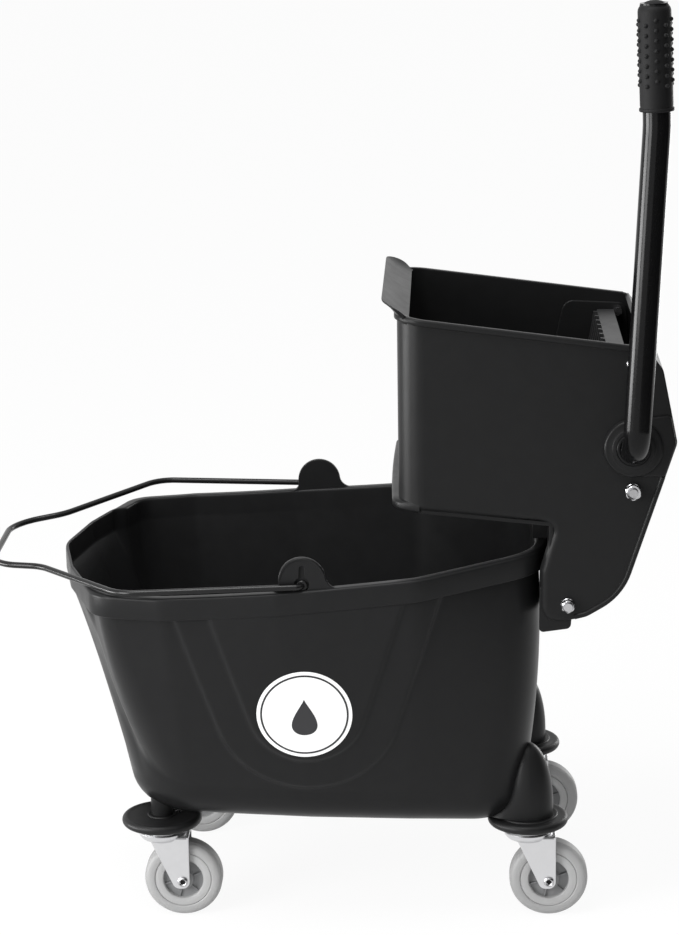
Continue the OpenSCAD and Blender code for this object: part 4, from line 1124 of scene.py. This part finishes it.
class WallPlan:
    """The three outer walls rolled out flat: near side, round corner, front, corner, far side."""

    def __init__(self, half, corner):
        self.half, self.corner = half, corner
        self.side = TAIL_X - (FRONT_X + corner)
        self.arc = corner * math.pi / 2
        self.front = 2 * (half - corner)
        self.total = 2 * self.side + 2 * self.arc + self.front

    def spot(self, u):
        """Place and outward direction in plan at a distance along the walls."""
        if u > self.total / 2:
            (x, y), (a, b) = self.spot(self.total - u)
            return (x, -y), (a, -b)
        if u <= self.side:
            return (TAIL_X - u, -self.half), (0.0, -1.0)
        if u <= self.side + self.arc:
            turn = (u - self.side) / self.corner
            a, b = -math.sin(turn), -math.cos(turn)
            return (FRONT_X + self.corner * (1 + a), -self.half + self.corner * (1 + b)), (a, b)
        return (FRONT_X, -self.half + self.corner + u - self.side - self.arc), (-1.0, 0.0)

    def stations(self, start, end, step=2.6):
        """Distances along the walls, close together round the corners."""
        marks = [start, end]
        for first in (self.side, self.total - self.side - self.arc):
            marks += list(first + np.linspace(0, self.arc, int(self.arc / step) + 2))
        marks += list(np.linspace(self.side + self.arc, self.total - self.side - self.arc, 9))
        return np.array(sorted(set(round(m, 4) for m in marks if start <= m <= end)))


def wall_plan():
    """The plan of the walls at their set width and corners."""
    wringer = settings("bucket_wringer")
    return WallPlan(wringer.half_width / MM, wringer.corner_radius / MM)


def dense(path, step=5.0):
    """The same path with no two points further apart than a step."""
    fine = [path[0]]
    for p, q in zip(path[:-1], path[1:]):
        count = max(1, math.ceil(np.linalg.norm(np.subtract(q, p)) / step))
        fine += [mix(p, q, (k + 1) / count) for k in range(count)]
    return np.array(fine)


def side_chain():
    """The side wall's edge from the saddle round the housing to the top of the back."""
    points = [(-120.0, foot_line(-120.0)), SADDLE, (4.3, 26.0), (-CHEEK, SKIRT / 4), (-CHEEK, SKIRT),
              *BACK_POINTS, (0.0, top_line(0.0))]
    rounds = [0, 4, 8, 12, 16, *BACK_ROUNDS, 0]
    return dense(bent_path([np.array(p) for p in points], rounds, 6.0)[1:-1])


# The rounded lower edge of the side walls: its radii, its height above the foot, and where it ends
EDGE_R, THIN_EDGE = 8.0, 1.2
EDGE_BAND, EDGE_REAR, EDGE_TOP = 12.0, 60.0, 40.0
EDGE_FROM, EDGE_FADE = 2.0, 26.0
BEAD_END = 84.0
FLANGE_START, FLANGE_OUT, FLANGE_BOW = 0.15, 5.6, 2.0
LIP_START, LIP_ROUND, LIP_SAG = 0.45, 26.0, 1.6


def edge_radius(x, z):
    """Radius of the outer wall's edge: large along the foot and the housing's front, small elsewhere."""
    above = x < EDGE_REAR and z > foot_line(x) + EDGE_BAND
    if above or z > EDGE_TOP:
        return THIN_EDGE
    return float(mix(EDGE_R, THIN_EDGE, smooth((x - EDGE_FROM) / EDGE_FADE)))


def wall_sheet():
    """Near side, front and far side as one bent sheet with its thickness and its rounded edges."""
    plan = wall_plan()
    thick = settings("bucket_wringer").wall / MM
    near = [(TAIL_X - x, z) for x, z in side_chain()]
    far = [(plan.total - u, z) for u, z in near[::-1]]
    marks = plan.stations(plan.side, plan.total - plan.side)
    top = [(u, top_line(plan.spot(u)[0][0])) for u in marks]
    foot = [(u, foot_line(plan.spot(u)[0][0])) for u in marks[::-1]]
    outline = dense(np.array(near + top + far + foot + near[:1]), 8.0)[:-1]
    if area(outline) < 0:
        outline = outline[::-1]
    radius = np.array([edge_radius(plan.spot(u)[0][0], z) for u, z in outline])
    lean = np.maximum(radius - thick, 0.0)
    outer, inner = [], []
    for a in np.linspace(math.pi / 2, 0, 8):
        flat = inset(outline, (radius * (1 - math.sin(a)))[:, None])
        outer.append(np.column_stack([flat, radius * (1 - math.cos(a))]))
        flat = inset(outline, (radius - lean * math.sin(a))[:, None])
        inner.append(np.column_stack([flat, np.maximum(radius, thick) - lean * math.cos(a)]))
    verts, faces = loft(outer[::-1] + inner)
    form = bmesh.new()
    corners = [form.verts.new(v) for v in verts]
    for face in faces:
        form.faces.new([corners[i] for i in face])
    cuts = np.linspace(20, plan.side - 10, 10)
    for u in [*marks, *cuts, *(plan.total - cuts)]:
        bmesh.ops.bisect_plane(form, geom=form.verts[:] + form.edges[:] + form.faces[:], dist=1e-4,
                               plane_co=(u, 0, 0), plane_no=(1, 0, 0))
    form.verts.index_update()
    bent = []
    for v in form.verts:
        (x, y), (a, b) = plan.spot(v.co[0])
        bent.append(REAR + (x - v.co[2] * a, y - v.co[2] * b, v.co[1]))
    faces = [tuple(v.index for v in f.verts) for f in form.faces]
    form.free()
    return np.array(bent), faces


def wall_moulding(plan, marks, height, profile):
    """A moulding along the three walls. height and profile are functions of the place on the walls."""
    path, rise, out, shapes = [], [], [], []
    for u in marks:
        (x, y), (a, b) = plan.spot(u)
        path.append(REAR + (x, y, height(x)))
        out.append(np.array([a, b, 0.0]))
        rise.append(np.array([0.0, 0.0, 1.0]))
        shapes.append(profile(u, a))
    return ribbon(path, out, rise, np.array(shapes))


def rim_bead():
    """The bead along the top edge."""
    plan, out = wall_plan(), settings("bucket_wringer").bead / MM
    start = TAIL_X - BEAD_END
    marks = plan.stations(start, plan.total - start)
    shape = [(-1.5, -5.6), (out * 0.5, -5.6), (out * 0.9, -5.0), (out, -4.0), (out, -1.4),
             (out * 0.85, -0.4), (out * 0.5, 0.15), (-1.5, 0.3), (-3.3, 0.1), (-3.7, -0.8)]
    return wall_moulding(plan, marks, top_line, lambda u, a: shape)


def foot_flange():
    """The bowed flange along the foot of the front wall, which dies away round the corners."""
    plan = wall_plan()
    start = plan.side + FLANGE_START * plan.arc
    marks = plan.stations(start, plan.total - start)
    marks = np.array(sorted(set(marks) | set(np.linspace(start, plan.total - start, 60))))

    def profile(u, a):
        bow = max(0.0, 1 - (2 * u / plan.total - 1) ** 2 / 0.1)
        out = 0.2 + FLANGE_OUT * float(smooth(a * a)) + FLANGE_BOW * bow
        return [(-7.0, 0.3), (out - 2.6, 0.0), (out - 1.0, 0.5), (out - 0.2, 1.6), (out, 3.0), (out, 6.4),
                (out - 0.3, 7.8), (out - 1.2, 8.8), (out - 2.6, 9.2), (-2.5, 9.6)]

    return wall_moulding(plan, marks, foot_line, profile)


def flared_lip():
    """The flared lip above the front wall: a sloping scoop whose ends are rounded off at the corners."""
    wringer, plan = settings("bucket_wringer"), wall_plan()
    reach, rise = wringer.lip_reach / MM, wringer.lip_rise / MM
    start = plan.side + LIP_START * plan.arc
    marks = set(plan.stations(start, plan.total - start))
    close = start + LIP_ROUND * (1 - np.cos(np.linspace(0, math.pi / 2, 18)))
    marks = np.array(sorted(marks | set(close) | set(plan.total - close)))

    def profile(u, a):
        gone = max(0.0, 1 - (min(u, plan.total - u) - start) / LIP_ROUND)
        k = math.sqrt(max(0.0, 1 - gone * gone))
        tip = np.array([0.4 + (reach - 1.2) * k, 0.2 + (rise - 1.5) * k])
        root = np.array([-3.9 - 7.5 * k, -1.2 - 1.5 * k])
        face = [mix(root, tip, t) + np.array([0.0, -LIP_SAG * k * 4 * t * (1 - t)])
                for t in np.linspace(0, 1, 8)]
        nose = [tip + np.array(step) * k for step in ((0.7, 0.5), (1.1, -0.3), (0.9, -1.3))]
        back = [(0.2 + (reach - 3.5) * k * t ** 1.7, -7.0 + (rise + 3.0) * k * t)
                for t in np.linspace(0.92, 0, 7)]
        return np.array([*face, *nose, *back, (-2.5, -8.0), (-3.8, -6.0)])

    return wall_moulding(plan, marks, top_line, profile)


def across_slab(outline, half, edge):
    """An outline seen from the side, drawn out over the whole width."""
    return plate([outline], -half, half, on_wringer, edge)


def strip(path, thick):
    """An outline of even thickness to the left of an open path."""
    path = np.asarray(path, float)
    along = units(np.gradient(path, axis=0))
    left = np.stack([-along[:, 1], along[:, 0]], 1)
    return np.concatenate([path, (path + thick * left)[::-1]])


FLOOR_REAR, FLOOR_LOW = 2.0, (0.3, 26.0)
SLOT_ENDS, SLOT_HALF, SLOT_ROUND = (-117.0, -32.0), 3.0, 2.9
SLOT_PITCH, SLOT_COUNT = 14.0, 15


def floor_part():
    """The sloping floor with its drain slots."""
    wringer = settings("bucket_wringer")
    half, thick, r = wringer.half_width / MM, wringer.wall / MM, wringer.corner_radius / MM
    front, side = FRONT_X + thick / 2, half - thick / 2
    outline = rounded([(front, -side), (FLOOR_REAR, -side), (FLOOR_REAR, side), (front, side)],
                      [r - 2, 1, 1, r - 2])
    first, last = SLOT_ENDS
    slots = []
    for k in range(SLOT_COUNT):
        y = SLOT_PITCH * (k - SLOT_COUNT // 2)
        slots.append(rounded([(first, y - SLOT_HALF), (last, y - SLOT_HALF), (last, y + SLOT_HALF),
                              (first, y + SLOT_HALF)], [SLOT_ROUND] * 4, 20.0))
    slope = (FLOOR_LOW[1] - FOOT_FRONT) / (FLOOR_LOW[0] - FRONT_X)
    return plate([outline, *slots], 0.0, thick,
                 lambda x, y, h: REAR + (x, y, FOOT_FRONT + slope * (x - FRONT_X) + h), 0.6, 2)


def back_part():
    """The housing's back, from its foot round the heel to its top."""
    path = bent_path(BACK_POINTS, BACK_ROUNDS, 6.0)
    return across_slab(strip(path, settings("bucket_wringer").wall / MM), side_faces()[0] - 1.0, 0.4)


def skirt_part():
    """The wall that hangs behind the tub's rear rim."""
    outline = np.array([(0.3, -66.0), (4.3, -66.0), (4.3, 29.0), (0.3, 29.0)])
    return across_slab(outline, side_faces()[0] - 2.0, 0.6)


def seat_ribs():
    """The ribs by which the wringer sits on the tub's rim."""
    shape = np.array([(-14.0, 0.3), (2.3, 0.3), (2.3, 28.0), (-14.0, 29.4)])
    ribs = []
    for y in (27.0, 81.0):
        ribs += both(plate([shape], y - 2.5, y + 2.5, on_wringer, 0.6))
    return ribs


def cheek_lobe():
    """The square corner of the inner cheek, which shows below the housing's rounded corner."""
    inner = side_faces()[1]
    outline = rounded([(-CHEEK, -34.0), (-CHEEK - 0.4, -79.0), (21.0, -75.0), (24.0, -34.0)], [2, 4, 5, 2])
    return plate([outline], inner - 2.0, inner + 0.8, on_wringer)


def edge_bead():
    """The bead along the housing's edge, from its toe round the heel up to the axle's tab."""
    toe, heel, tail = (np.array(p) for p in BACK_POINTS[:3])
    points = [mix((-CHEEK, SKIRT), toe, 0.75), toe, heel, mix(heel, tail, 0.775)]
    path = bent_path(points, [0, *BACK_ROUNDS[:2], 0], 5.0)
    along = units(np.gradient(path, axis=0))
    half = side_faces()[0]
    left = np.stack([-along[:, 1], np.zeros(len(along)), along[:, 0]], 1)
    spots = np.array([on_wringer(x, z, half) for x, z in path])
    shape = [(0.0, -3.0), (0.0, 0.2), (0.4, 1.2), (1.2, 1.9), (2.4, 2.1), (3.8, 1.9), (4.6, 1.2), (5.0, 0.2),
             (5.2, -1.0), (3.0, -3.0)]
    return ribbon(spots, left, np.tile([0.0, 1.0, 0.0], (len(spots), 1)), shape)


BOSS_RISE = 6.0


def axle_boss():
    """The round boss at the axle, with a raised ring."""
    half = side_faces()[0]
    face = half + BOSS_RISE
    profile = [(28.0, half - 1.0), (27.8, half + 1.0), (27.5, face - 2.2), (26.9, face - 0.9),
               (25.8, face - 0.2), (24.6, face - 0.1), (20.0, face - 0.1), (19.6, face + 0.2),
               (19.3, face + 1.3), (18.6, face + 1.6), (16.2, face + 1.6), (15.8, face + 1.2),
               (15.7, half - 1.0)]
    return lathe(profile, (AXLE[0], 0.0, AXLE[2]), (0, 1, 0), turns=96, loop=True)


def axle_tab():
    """The raised tab from the axle's boss back to the housing's edge."""
    half = side_faces()[0]
    ax, az = AXLE[0] - REAR[0], AXLE[2] - REAR[2]
    outline = rounded([(ax - 6.0, az + 26.8), (112.4, 133.0), (117.6, 106.0), (107.4, az - 27.6),
                       (ax, az - 27.6), (ax - 18.0, az)], [4, 5, 9, 3, 4, 6])
    return plate([outline], half - 1.0, half + 3.0, on_wringer, 1.6)


def inner_panel():
    """The raised panel on the inside of a side wall, behind the press plate's upper end."""
    inner = side_faces()[1]
    outline = rounded([(12.0, 136.0), (91.0, 136.0), (87.0, 188.0), (24.0, 191.0)], [8, 8, 10, 12])
    return plate([outline], inner - 2.2, inner + 0.5, on_wringer, 1.2)


class MOPBUCKET_OT_wringer(bpy.types.Operator):
    """Make the wringer's basket and housing with its lip, beads, floor slots and bosses"""

    bl_idname = "mop_bucket.wringer"
    bl_label = "Make wringer"

    def execute(self, context):
        plastic = surface("wringer_plastic")
        piece("basket_walls", [wall_sheet()], "wringer", plastic, ("wringer_basket",),
              flat_faces=True)
        inside = [back_part(), floor_part(), skirt_part(), *seat_ribs(), *both(inner_panel()),
                  *both(cheek_lobe())]
        piece("basket_floor_and_back", inside, "wringer", plastic, flat_faces=True)
        trim = [rim_bead(), foot_flange(), *both(edge_bead()), *both(axle_boss())]
        piece("basket_beads", trim, "wringer", plastic)
        piece("basket_tabs", both(axle_tab()), "wringer", plastic, flat_faces=True)
        piece("flared_lip", [flared_lip()], "wringer", plastic, sharp=60.0)
        return {"FINISHED"}


BOLT_R, WASHER_T = 4.05, 1.5

# Rods and bolts that end in nuts, with the height of their seats and the nuts' widths over flats
NUTS = (("idler_shaft", 3.0, 13.4), ("lower_tie_rod", 0.0, 11.4), ("stop_bolts", 0.0, 12.0))


def nut_part(x, z, base, across):
    """A hexagon nut with turned-off corners, seen along Y; across is half its width over flats."""
    count, height = 96, 6.5
    t = full_turn(count)
    hexagon = across / np.cos((t + math.pi / 6) % (math.pi / 3) - math.pi / 6)
    steps = [(0.0, 1.06), (0.5, 1.16), (height - 0.9, 1.16), (height - 0.45, 1.08), (height, 0.95)]
    steps = [(h, np.minimum(hexagon, share * across)) for h, share in steps] + [(height - 0.5, BOLT_R)]
    return loft([np.column_stack([x + r * np.cos(t), np.full(count, base + h), z + r * np.sin(t)])
                 for h, r in steps])


def washer_part(x, z, face, r):
    """A flat washer with a rounded outer edge."""
    top = face + WASHER_T
    ring = [(BOLT_R, face), (r - 0.3, face), (r, face + 0.4), (r, top - 0.4), (r - 0.4, top), (BOLT_R, top)]
    return lathe(ring, (x, 0.0, z), (0, 1, 0), turns=64, loop=True)


class MOPBUCKET_OT_fasteners(bpy.types.Operator):
    """Make the nuts, washers and axle collars, and finish the rods"""

    bl_idname = "mop_bucket.fasteners"
    bl_label = "Make fasteners"

    def execute(self, context):
        half = side_faces()[0]
        steel = surface("bright_steel")
        nuts, washers = [], []
        for node, rise, flats in NUTS:
            x, _, z = np.mean(node_box(node), 0)
            nuts += both(nut_part(x, z, half + rise + WASHER_T, flats / 2))
            washers += both(washer_part(x, z, half + rise, flats / 2 + 0.6))
            dress(node, steel)
        dress("plate_pivot_rod", steel)
        piece("hexagon_nuts", nuts, "wringer", steel, ("tie_nuts",), sharp=25.0)
        piece("round_washers", washers, "wringer", steel, ("tie_washers",))
        face = half + BOSS_RISE
        collar = [(12.82, half - 4.0), (15.1, half - 4.0), (15.1, face), (15.4, face), (15.6, face + 0.5),
                  (15.6, face + 1.9), (15.1, face + 2.5), (13.4, face + 2.5), (12.82, face + 1.9)]
        plastic = surface("wringer_plastic")
        for side, node in ((1, "axle_bush_right"), (-1, "axle_bush_left")):
            part = lathe(collar, (AXLE[0], 0.0, AXLE[2]), (0, side, 0), turns=72, loop=True)
            piece(node.replace("bush", "collar"), [part], "wringer", plastic, (node,))
        return {"FINISHED"}


# Lever

LEVER_FAR, LEVER_NEAR = 143.5, -171.7
LEVER_KNEE, LEVER_TIP = (93.4308, 406.609), (89.4733, 514.537)
LEVER_BENDS = (0, 27, 160, 0)
NUB_FIRST, NUB_LAST = 17.0, 23.0


def lever_points():
    """The tube's path: along the axle, up at the elbow and over its slight upper bend."""
    axle = [np.array([AXLE[0], y, AXLE[2]]) for y in (LEVER_FAR, LEVER_NEAR)]
    return axle + [on_wringer(x, z, LEVER_NEAR) for x, z in (LEVER_KNEE, LEVER_TIP)]


def grip_parts(tip, along):
    """The rubber grip with its domed end, its lower collar and staggered columns of nubs."""
    lever = settings("bucket_lever")
    r, long = lever.grip_radius / MM, lever.grip_length / MM
    origin, down = tip + 2.5 * along, -along
    dome = [(0.0, 0.0), (3.5, 0.3), (6.5, 1.1), (9.5, 2.5), (12.0, 4.3), (13.6, 6.0), (14.5, 7.7), (r, 10.0)]
    body = dome + [(r, 0.5 * long), (r, long - 6.0), (r - 0.2, long - 4.2), (r - 0.2, long - 3.4),
                   (r + 0.6, long - 3.0), (r + 0.8, long - 2.2), (r + 0.8, long - 0.8),
                   (r + 0.4, long - 0.2), (r - 0.4, long), (12.9, long), (12.9, 4.0), (0.0, 4.0)]
    parts = [lathe(body, origin, down, turns=96)]
    across = unit(np.cross(down, (0, 1, 0)))
    other = np.cross(down, across)
    pitch = lever.nub_pitch / MM
    nub = [(0.0, 1.95), (0.7, 1.85), (1.4, 1.4), (1.9, 0.7), (2.2, -0.1), (2.4, -0.9)]
    for column in range(lever.nub_columns):
        a = 2 * math.pi * (column + 0.5) / lever.nub_columns
        away = math.cos(a) * across + math.sin(a) * other
        h = NUB_FIRST + (pitch / 2 if column % 2 else 0.0)
        while h < long - NUB_LAST:
            parts.append(lathe(nub, origin + h * down + r * away, away, turns=16))
            h += pitch
    return parts


class MOPBUCKET_OT_lever(bpy.types.Operator):
    """Make the bent tube, its rubber grip and the cap of its axle"""

    bl_idname = "mop_bucket.lever"
    bl_label = "Make lever"

    def execute(self, context):
        lever = settings("bucket_lever")
        points = lever_points()
        path = bent_path(points, LEVER_BENDS, 2.5)
        paint, rubber = surface("tube_paint"), surface("grip_rubber")
        piece("bent_tube", [sweep(path, lever.tube_radius / MM, 64)], "lever", paint,
              ("lever_tube",))
        along = unit(points[3] - points[2])
        piece("nubbed_grip", grip_parts(points[3], along), "lever", rubber, ("lever_grip",))
        r, end = half_span("axle_cap", 0), node_box("axle_cap")[1][1]
        cap = [(0.0, end), (r - 5.0, end), (r - 1.2, end - 0.5), (r - 0.2, end - 1.3), (r, end - 2.0),
               (r, end - 2.5), (11.0, end - 2.5), (11.0, end - 12.0), (0.0, end - 12.0)]
        turned = lathe(cap, (AXLE[0], 0.0, AXLE[2]), (0, 1, 0))
        piece("round_axle_cap", [turned], "lever", rubber, ("axle_cap",))
        return {"FINISHED"}


class MOPBUCKET_OT_press(bpy.types.Operator):
    """Finish the gears and the press plate"""

    bl_idname = "mop_bucket.press"
    bl_label = "Finish press"

    def execute(self, context):
        gear, press = surface("gear_plastic"), surface("press_plastic")
        for side in ("left", "right"):
            for wheel in ("pinion_", "idler_", "quadrant_"):
                dress(wheel + side, gear)
        dress("press_plate", press)
        return {"FINISHED"}


# Stage

# The camera's focal length in pixels of the picture's long side, its place and its angles in degrees
FOCAL_PX = 2800.0
IMAGE_LONG = 935.0
SENSOR = 36.0
CAMERA_AT = (104.7, -2667.7, 1105.8)
CAMERA_PITCH, CAMERA_YAW, CAMERA_ROLL = 14.346, -2.333, 0.896
SEEN_RAYS = ("Is Camera Ray", "Is Glossy Ray", "Is Transmission Ray")
FLOOR_HALF, FLOOR_GLOW = 12.0, 0.93
CARD_COLOUR = (0.03, 0.03, 0.03)
CARD_FOOT = ((0.3, -2.2), (1.5, -1.0), (1.7, 0.3))
CARD_HEIGHTS = (0.02, 1.7)

# Place, target and size of each light in metres, its setting, and whether it only gives gloss
LIGHTS = {
    "key_light": ((-1.4, -1.3, 0.85), (-0.1, 0.0, 0.3), (0.8, 1.3), "key_power", False),
    "side_softbox": ((-2.3, -0.35, 0.28), (0.0, 0.0, 0.28), (1.3, 0.6), "side_power", True),
    "top_light": ((-0.5, -0.6, 2.5), (0.1, 0.0, 0.4), (1.2, 1.2), "top_power", False),
    "rim_softbox": ((1.5, 1.9, 0.55), (0.1, 0.0, 0.4), (0.5, 1.4), "rim_power", True),
}


def make_camera():
    """The camera, which looks at the near side from a little above."""
    pitch, yaw, roll = (math.radians(a) for a in (CAMERA_PITCH, CAMERA_YAW, CAMERA_ROLL))
    forward = np.array([math.sin(yaw) * math.cos(pitch), math.cos(yaw) * math.cos(pitch),
                        -math.sin(pitch)])
    right = np.array([math.cos(yaw), -math.sin(yaw), 0.0])
    down = np.cross(forward, right)
    across = math.cos(roll) * right + math.sin(roll) * down
    drop = -math.sin(roll) * right + math.cos(roll) * down
    data = bpy.data.cameras.new("camera")
    data.sensor_width = SENSOR
    data.lens = FOCAL_PX / IMAGE_LONG * SENSOR
    camera = bpy.data.objects.new("camera", data)
    turn = Matrix((across, -drop, -forward)).transposed().to_4x4()
    place = Vector(CAMERA_AT) + Vector((MIDDLE_X, 0, 0))
    camera.matrix_world = Matrix.Translation(place * MM) @ turn
    data.clip_start, data.clip_end = 0.05, 60.0
    bpy.context.scene.collection.objects.link(camera)
    bpy.context.scene.camera = camera


def area_light(name, at, target, size, watts, gloss_only):
    """A rectangular light that the camera doesn't see."""
    data = bpy.data.lights.new(name, "AREA")
    data.shape = "RECTANGLE"
    data.size, data.size_y = size
    data.energy = watts
    lamp = bpy.data.objects.new(name, data)
    lamp.location = at
    lamp.rotation_euler = (Vector(target) - Vector(at)).to_track_quat("-Z", "Y").to_euler()
    lamp.visible_camera = False
    lamp.visible_diffuse = not gloss_only
    bpy.context.scene.collection.objects.link(lamp)


def seen_rays(tree):
    """One if a ray shows the surround itself, to the eye, in gloss or through glass."""
    path = tree.nodes.new("ShaderNodeLightPath")
    total = path.outputs[SEEN_RAYS[0]]
    for kind in SEEN_RAYS[1:]:
        either = tree.nodes.new("ShaderNodeMath")
        either.operation = "MAXIMUM"
        tree.links.new(total, either.inputs[0])
        tree.links.new(path.outputs[kind], either.inputs[1])
        total = either.outputs[0]
    return total


def make_world(strength):
    """An even pale surround: white to the eye and in reflections, softer as light."""
    world = bpy.data.worlds.new("studio")
    bpy.context.scene.world = world
    world.use_nodes = True
    tree = world.node_tree
    light = tree.nodes["Background"]
    light.inputs["Color"].default_value = (1, 1, 1, 1)
    light.inputs["Strength"].default_value = strength
    white = tree.nodes.new("ShaderNodeBackground")
    white.inputs["Color"].default_value = (1, 1, 1, 1)
    white.inputs["Strength"].default_value = 1.0
    choice = tree.nodes.new("ShaderNodeMixShader")
    tree.links.new(seen_rays(tree), choice.inputs[0])
    tree.links.new(light.outputs[0], choice.inputs[1])
    tree.links.new(white.outputs[0], choice.inputs[2])
    tree.links.new(choice.outputs[0], tree.nodes["World Output"].inputs["Surface"])


def matt_material(name, colour):
    """A dull surface and its shader."""
    material = bpy.data.materials.new(name)
    material.use_nodes = True
    shader = material.node_tree.nodes["Principled BSDF"]
    shader.inputs["Base Color"].default_value = (*colour, 1)
    shader.inputs["Roughness"].default_value = 0.9
    shader.inputs["Specular IOR Level"].default_value = 0.0
    return material, shader


def sheet(name, verts, faces, material):
    """A bare surface of the stage."""
    mesh = bpy.data.meshes.new(name)
    mesh.from_pydata(verts, [], faces)
    mesh.materials.append(material)
    made = bpy.data.objects.new(name, mesh)
    bpy.context.scene.collection.objects.link(made)
    return made


def make_floor(colour):
    """A wide pale floor that keeps a faint shadow."""
    material, matt = matt_material("pale_floor", colour)
    tree = material.node_tree
    glow = tree.nodes.new("ShaderNodeEmission")
    glow.inputs["Color"].default_value = (1, 1, 1, 1)
    glow.inputs["Strength"].default_value = 1.0
    blend = tree.nodes.new("ShaderNodeMixShader")
    share = tree.nodes.new("ShaderNodeMath")
    share.operation = "MULTIPLY"
    share.inputs[1].default_value = FLOOR_GLOW
    tree.links.new(seen_rays(tree), share.inputs[0])
    tree.links.new(share.outputs[0], blend.inputs[0])
    tree.links.new(matt.outputs[0], blend.inputs[1])
    tree.links.new(glow.outputs[0], blend.inputs[2])
    tree.links.new(blend.outputs[0], tree.nodes["Material Output"].inputs["Surface"])
    corners = [(a * FLOOR_HALF, b * FLOOR_HALF, 0) for a, b in ((-1, -1), (1, -1), (1, 1), (-1, 1))]
    floor = sheet("floor", corners, [(0, 1, 2, 3)], material)


def make_card():
    """A dark card beside the camera, which only reflections see."""
    material, _ = matt_material("dark_card", CARD_COLOUR)
    verts = [(x, y, z) for x, y in CARD_FOOT for z in CARD_HEIGHTS]
    card = sheet("dark_card", verts, [(0, 2, 3, 1), (2, 4, 5, 3)], material)
    card.visible_camera = card.visible_diffuse = card.visible_transmission = card.visible_shadow = False


class MOPBUCKET_OT_stage(bpy.types.Operator):
    """Make the camera, the pale floor and the soft studio light"""

    bl_idname = "mop_bucket.stage"
    bl_label = "Make stage"

    def execute(self, context):
        stage = settings("bucket_stage")
        context.scene.view_settings.view_transform = "Standard"
        make_camera()
        make_world(stage.surround)
        make_floor(stage.floor)
        make_card()
        for name, (at, target, size, key, gloss_only) in LIGHTS.items():
            area_light(name, at, target, size, getattr(stage, key), gloss_only)
        return {"FINISHED"}


STEPS = (MOPBUCKET_OT_tub, MOPBUCKET_OT_label, MOPBUCKET_OT_bumpers, MOPBUCKET_OT_forks,
         MOPBUCKET_OT_wheels, MOPBUCKET_OT_bail, MOPBUCKET_OT_wringer, MOPBUCKET_OT_fasteners,
         MOPBUCKET_OT_lever, MOPBUCKET_OT_press, MOPBUCKET_OT_stage)


class MOPBUCKET_PT_panel(bpy.types.Panel):
    """Steps and settings of the mop bucket"""

    bl_idname = "MOPBUCKET_PT_panel"
    bl_label = "Mop bucket"
    bl_space_type = "VIEW_3D"
    bl_region_type = "UI"
    bl_category = "Mop bucket"

    def draw(self, context):
        for step in STEPS:
            self.layout.operator(step.bl_idname)
        for name in SETTINGS:
            group = getattr(context.scene, name)
            box = self.layout.box()
            for key in group.bl_rna.properties.keys():
                if key not in ("rna_type", "name"):
                    box.prop(group, key)


CLASSES = (*SETTINGS.values(), *STEPS, MOPBUCKET_PT_panel)


def register():
    for cls in CLASSES:
        bpy.utils.register_class(cls)
    for name, group in SETTINGS.items():
        setattr(bpy.types.Scene, name, PointerProperty(type=group))


def unregister():
    for name in SETTINGS:
        delattr(bpy.types.Scene, name)
    for cls in reversed(CLASSES):
        bpy.utils.unregister_class(cls)


def main():
    register()
    for step in STEPS:
        group, action = step.bl_idname.split(".")
        getattr(getattr(bpy.ops, group), action)()


if __name__ == "__main__":
    main()
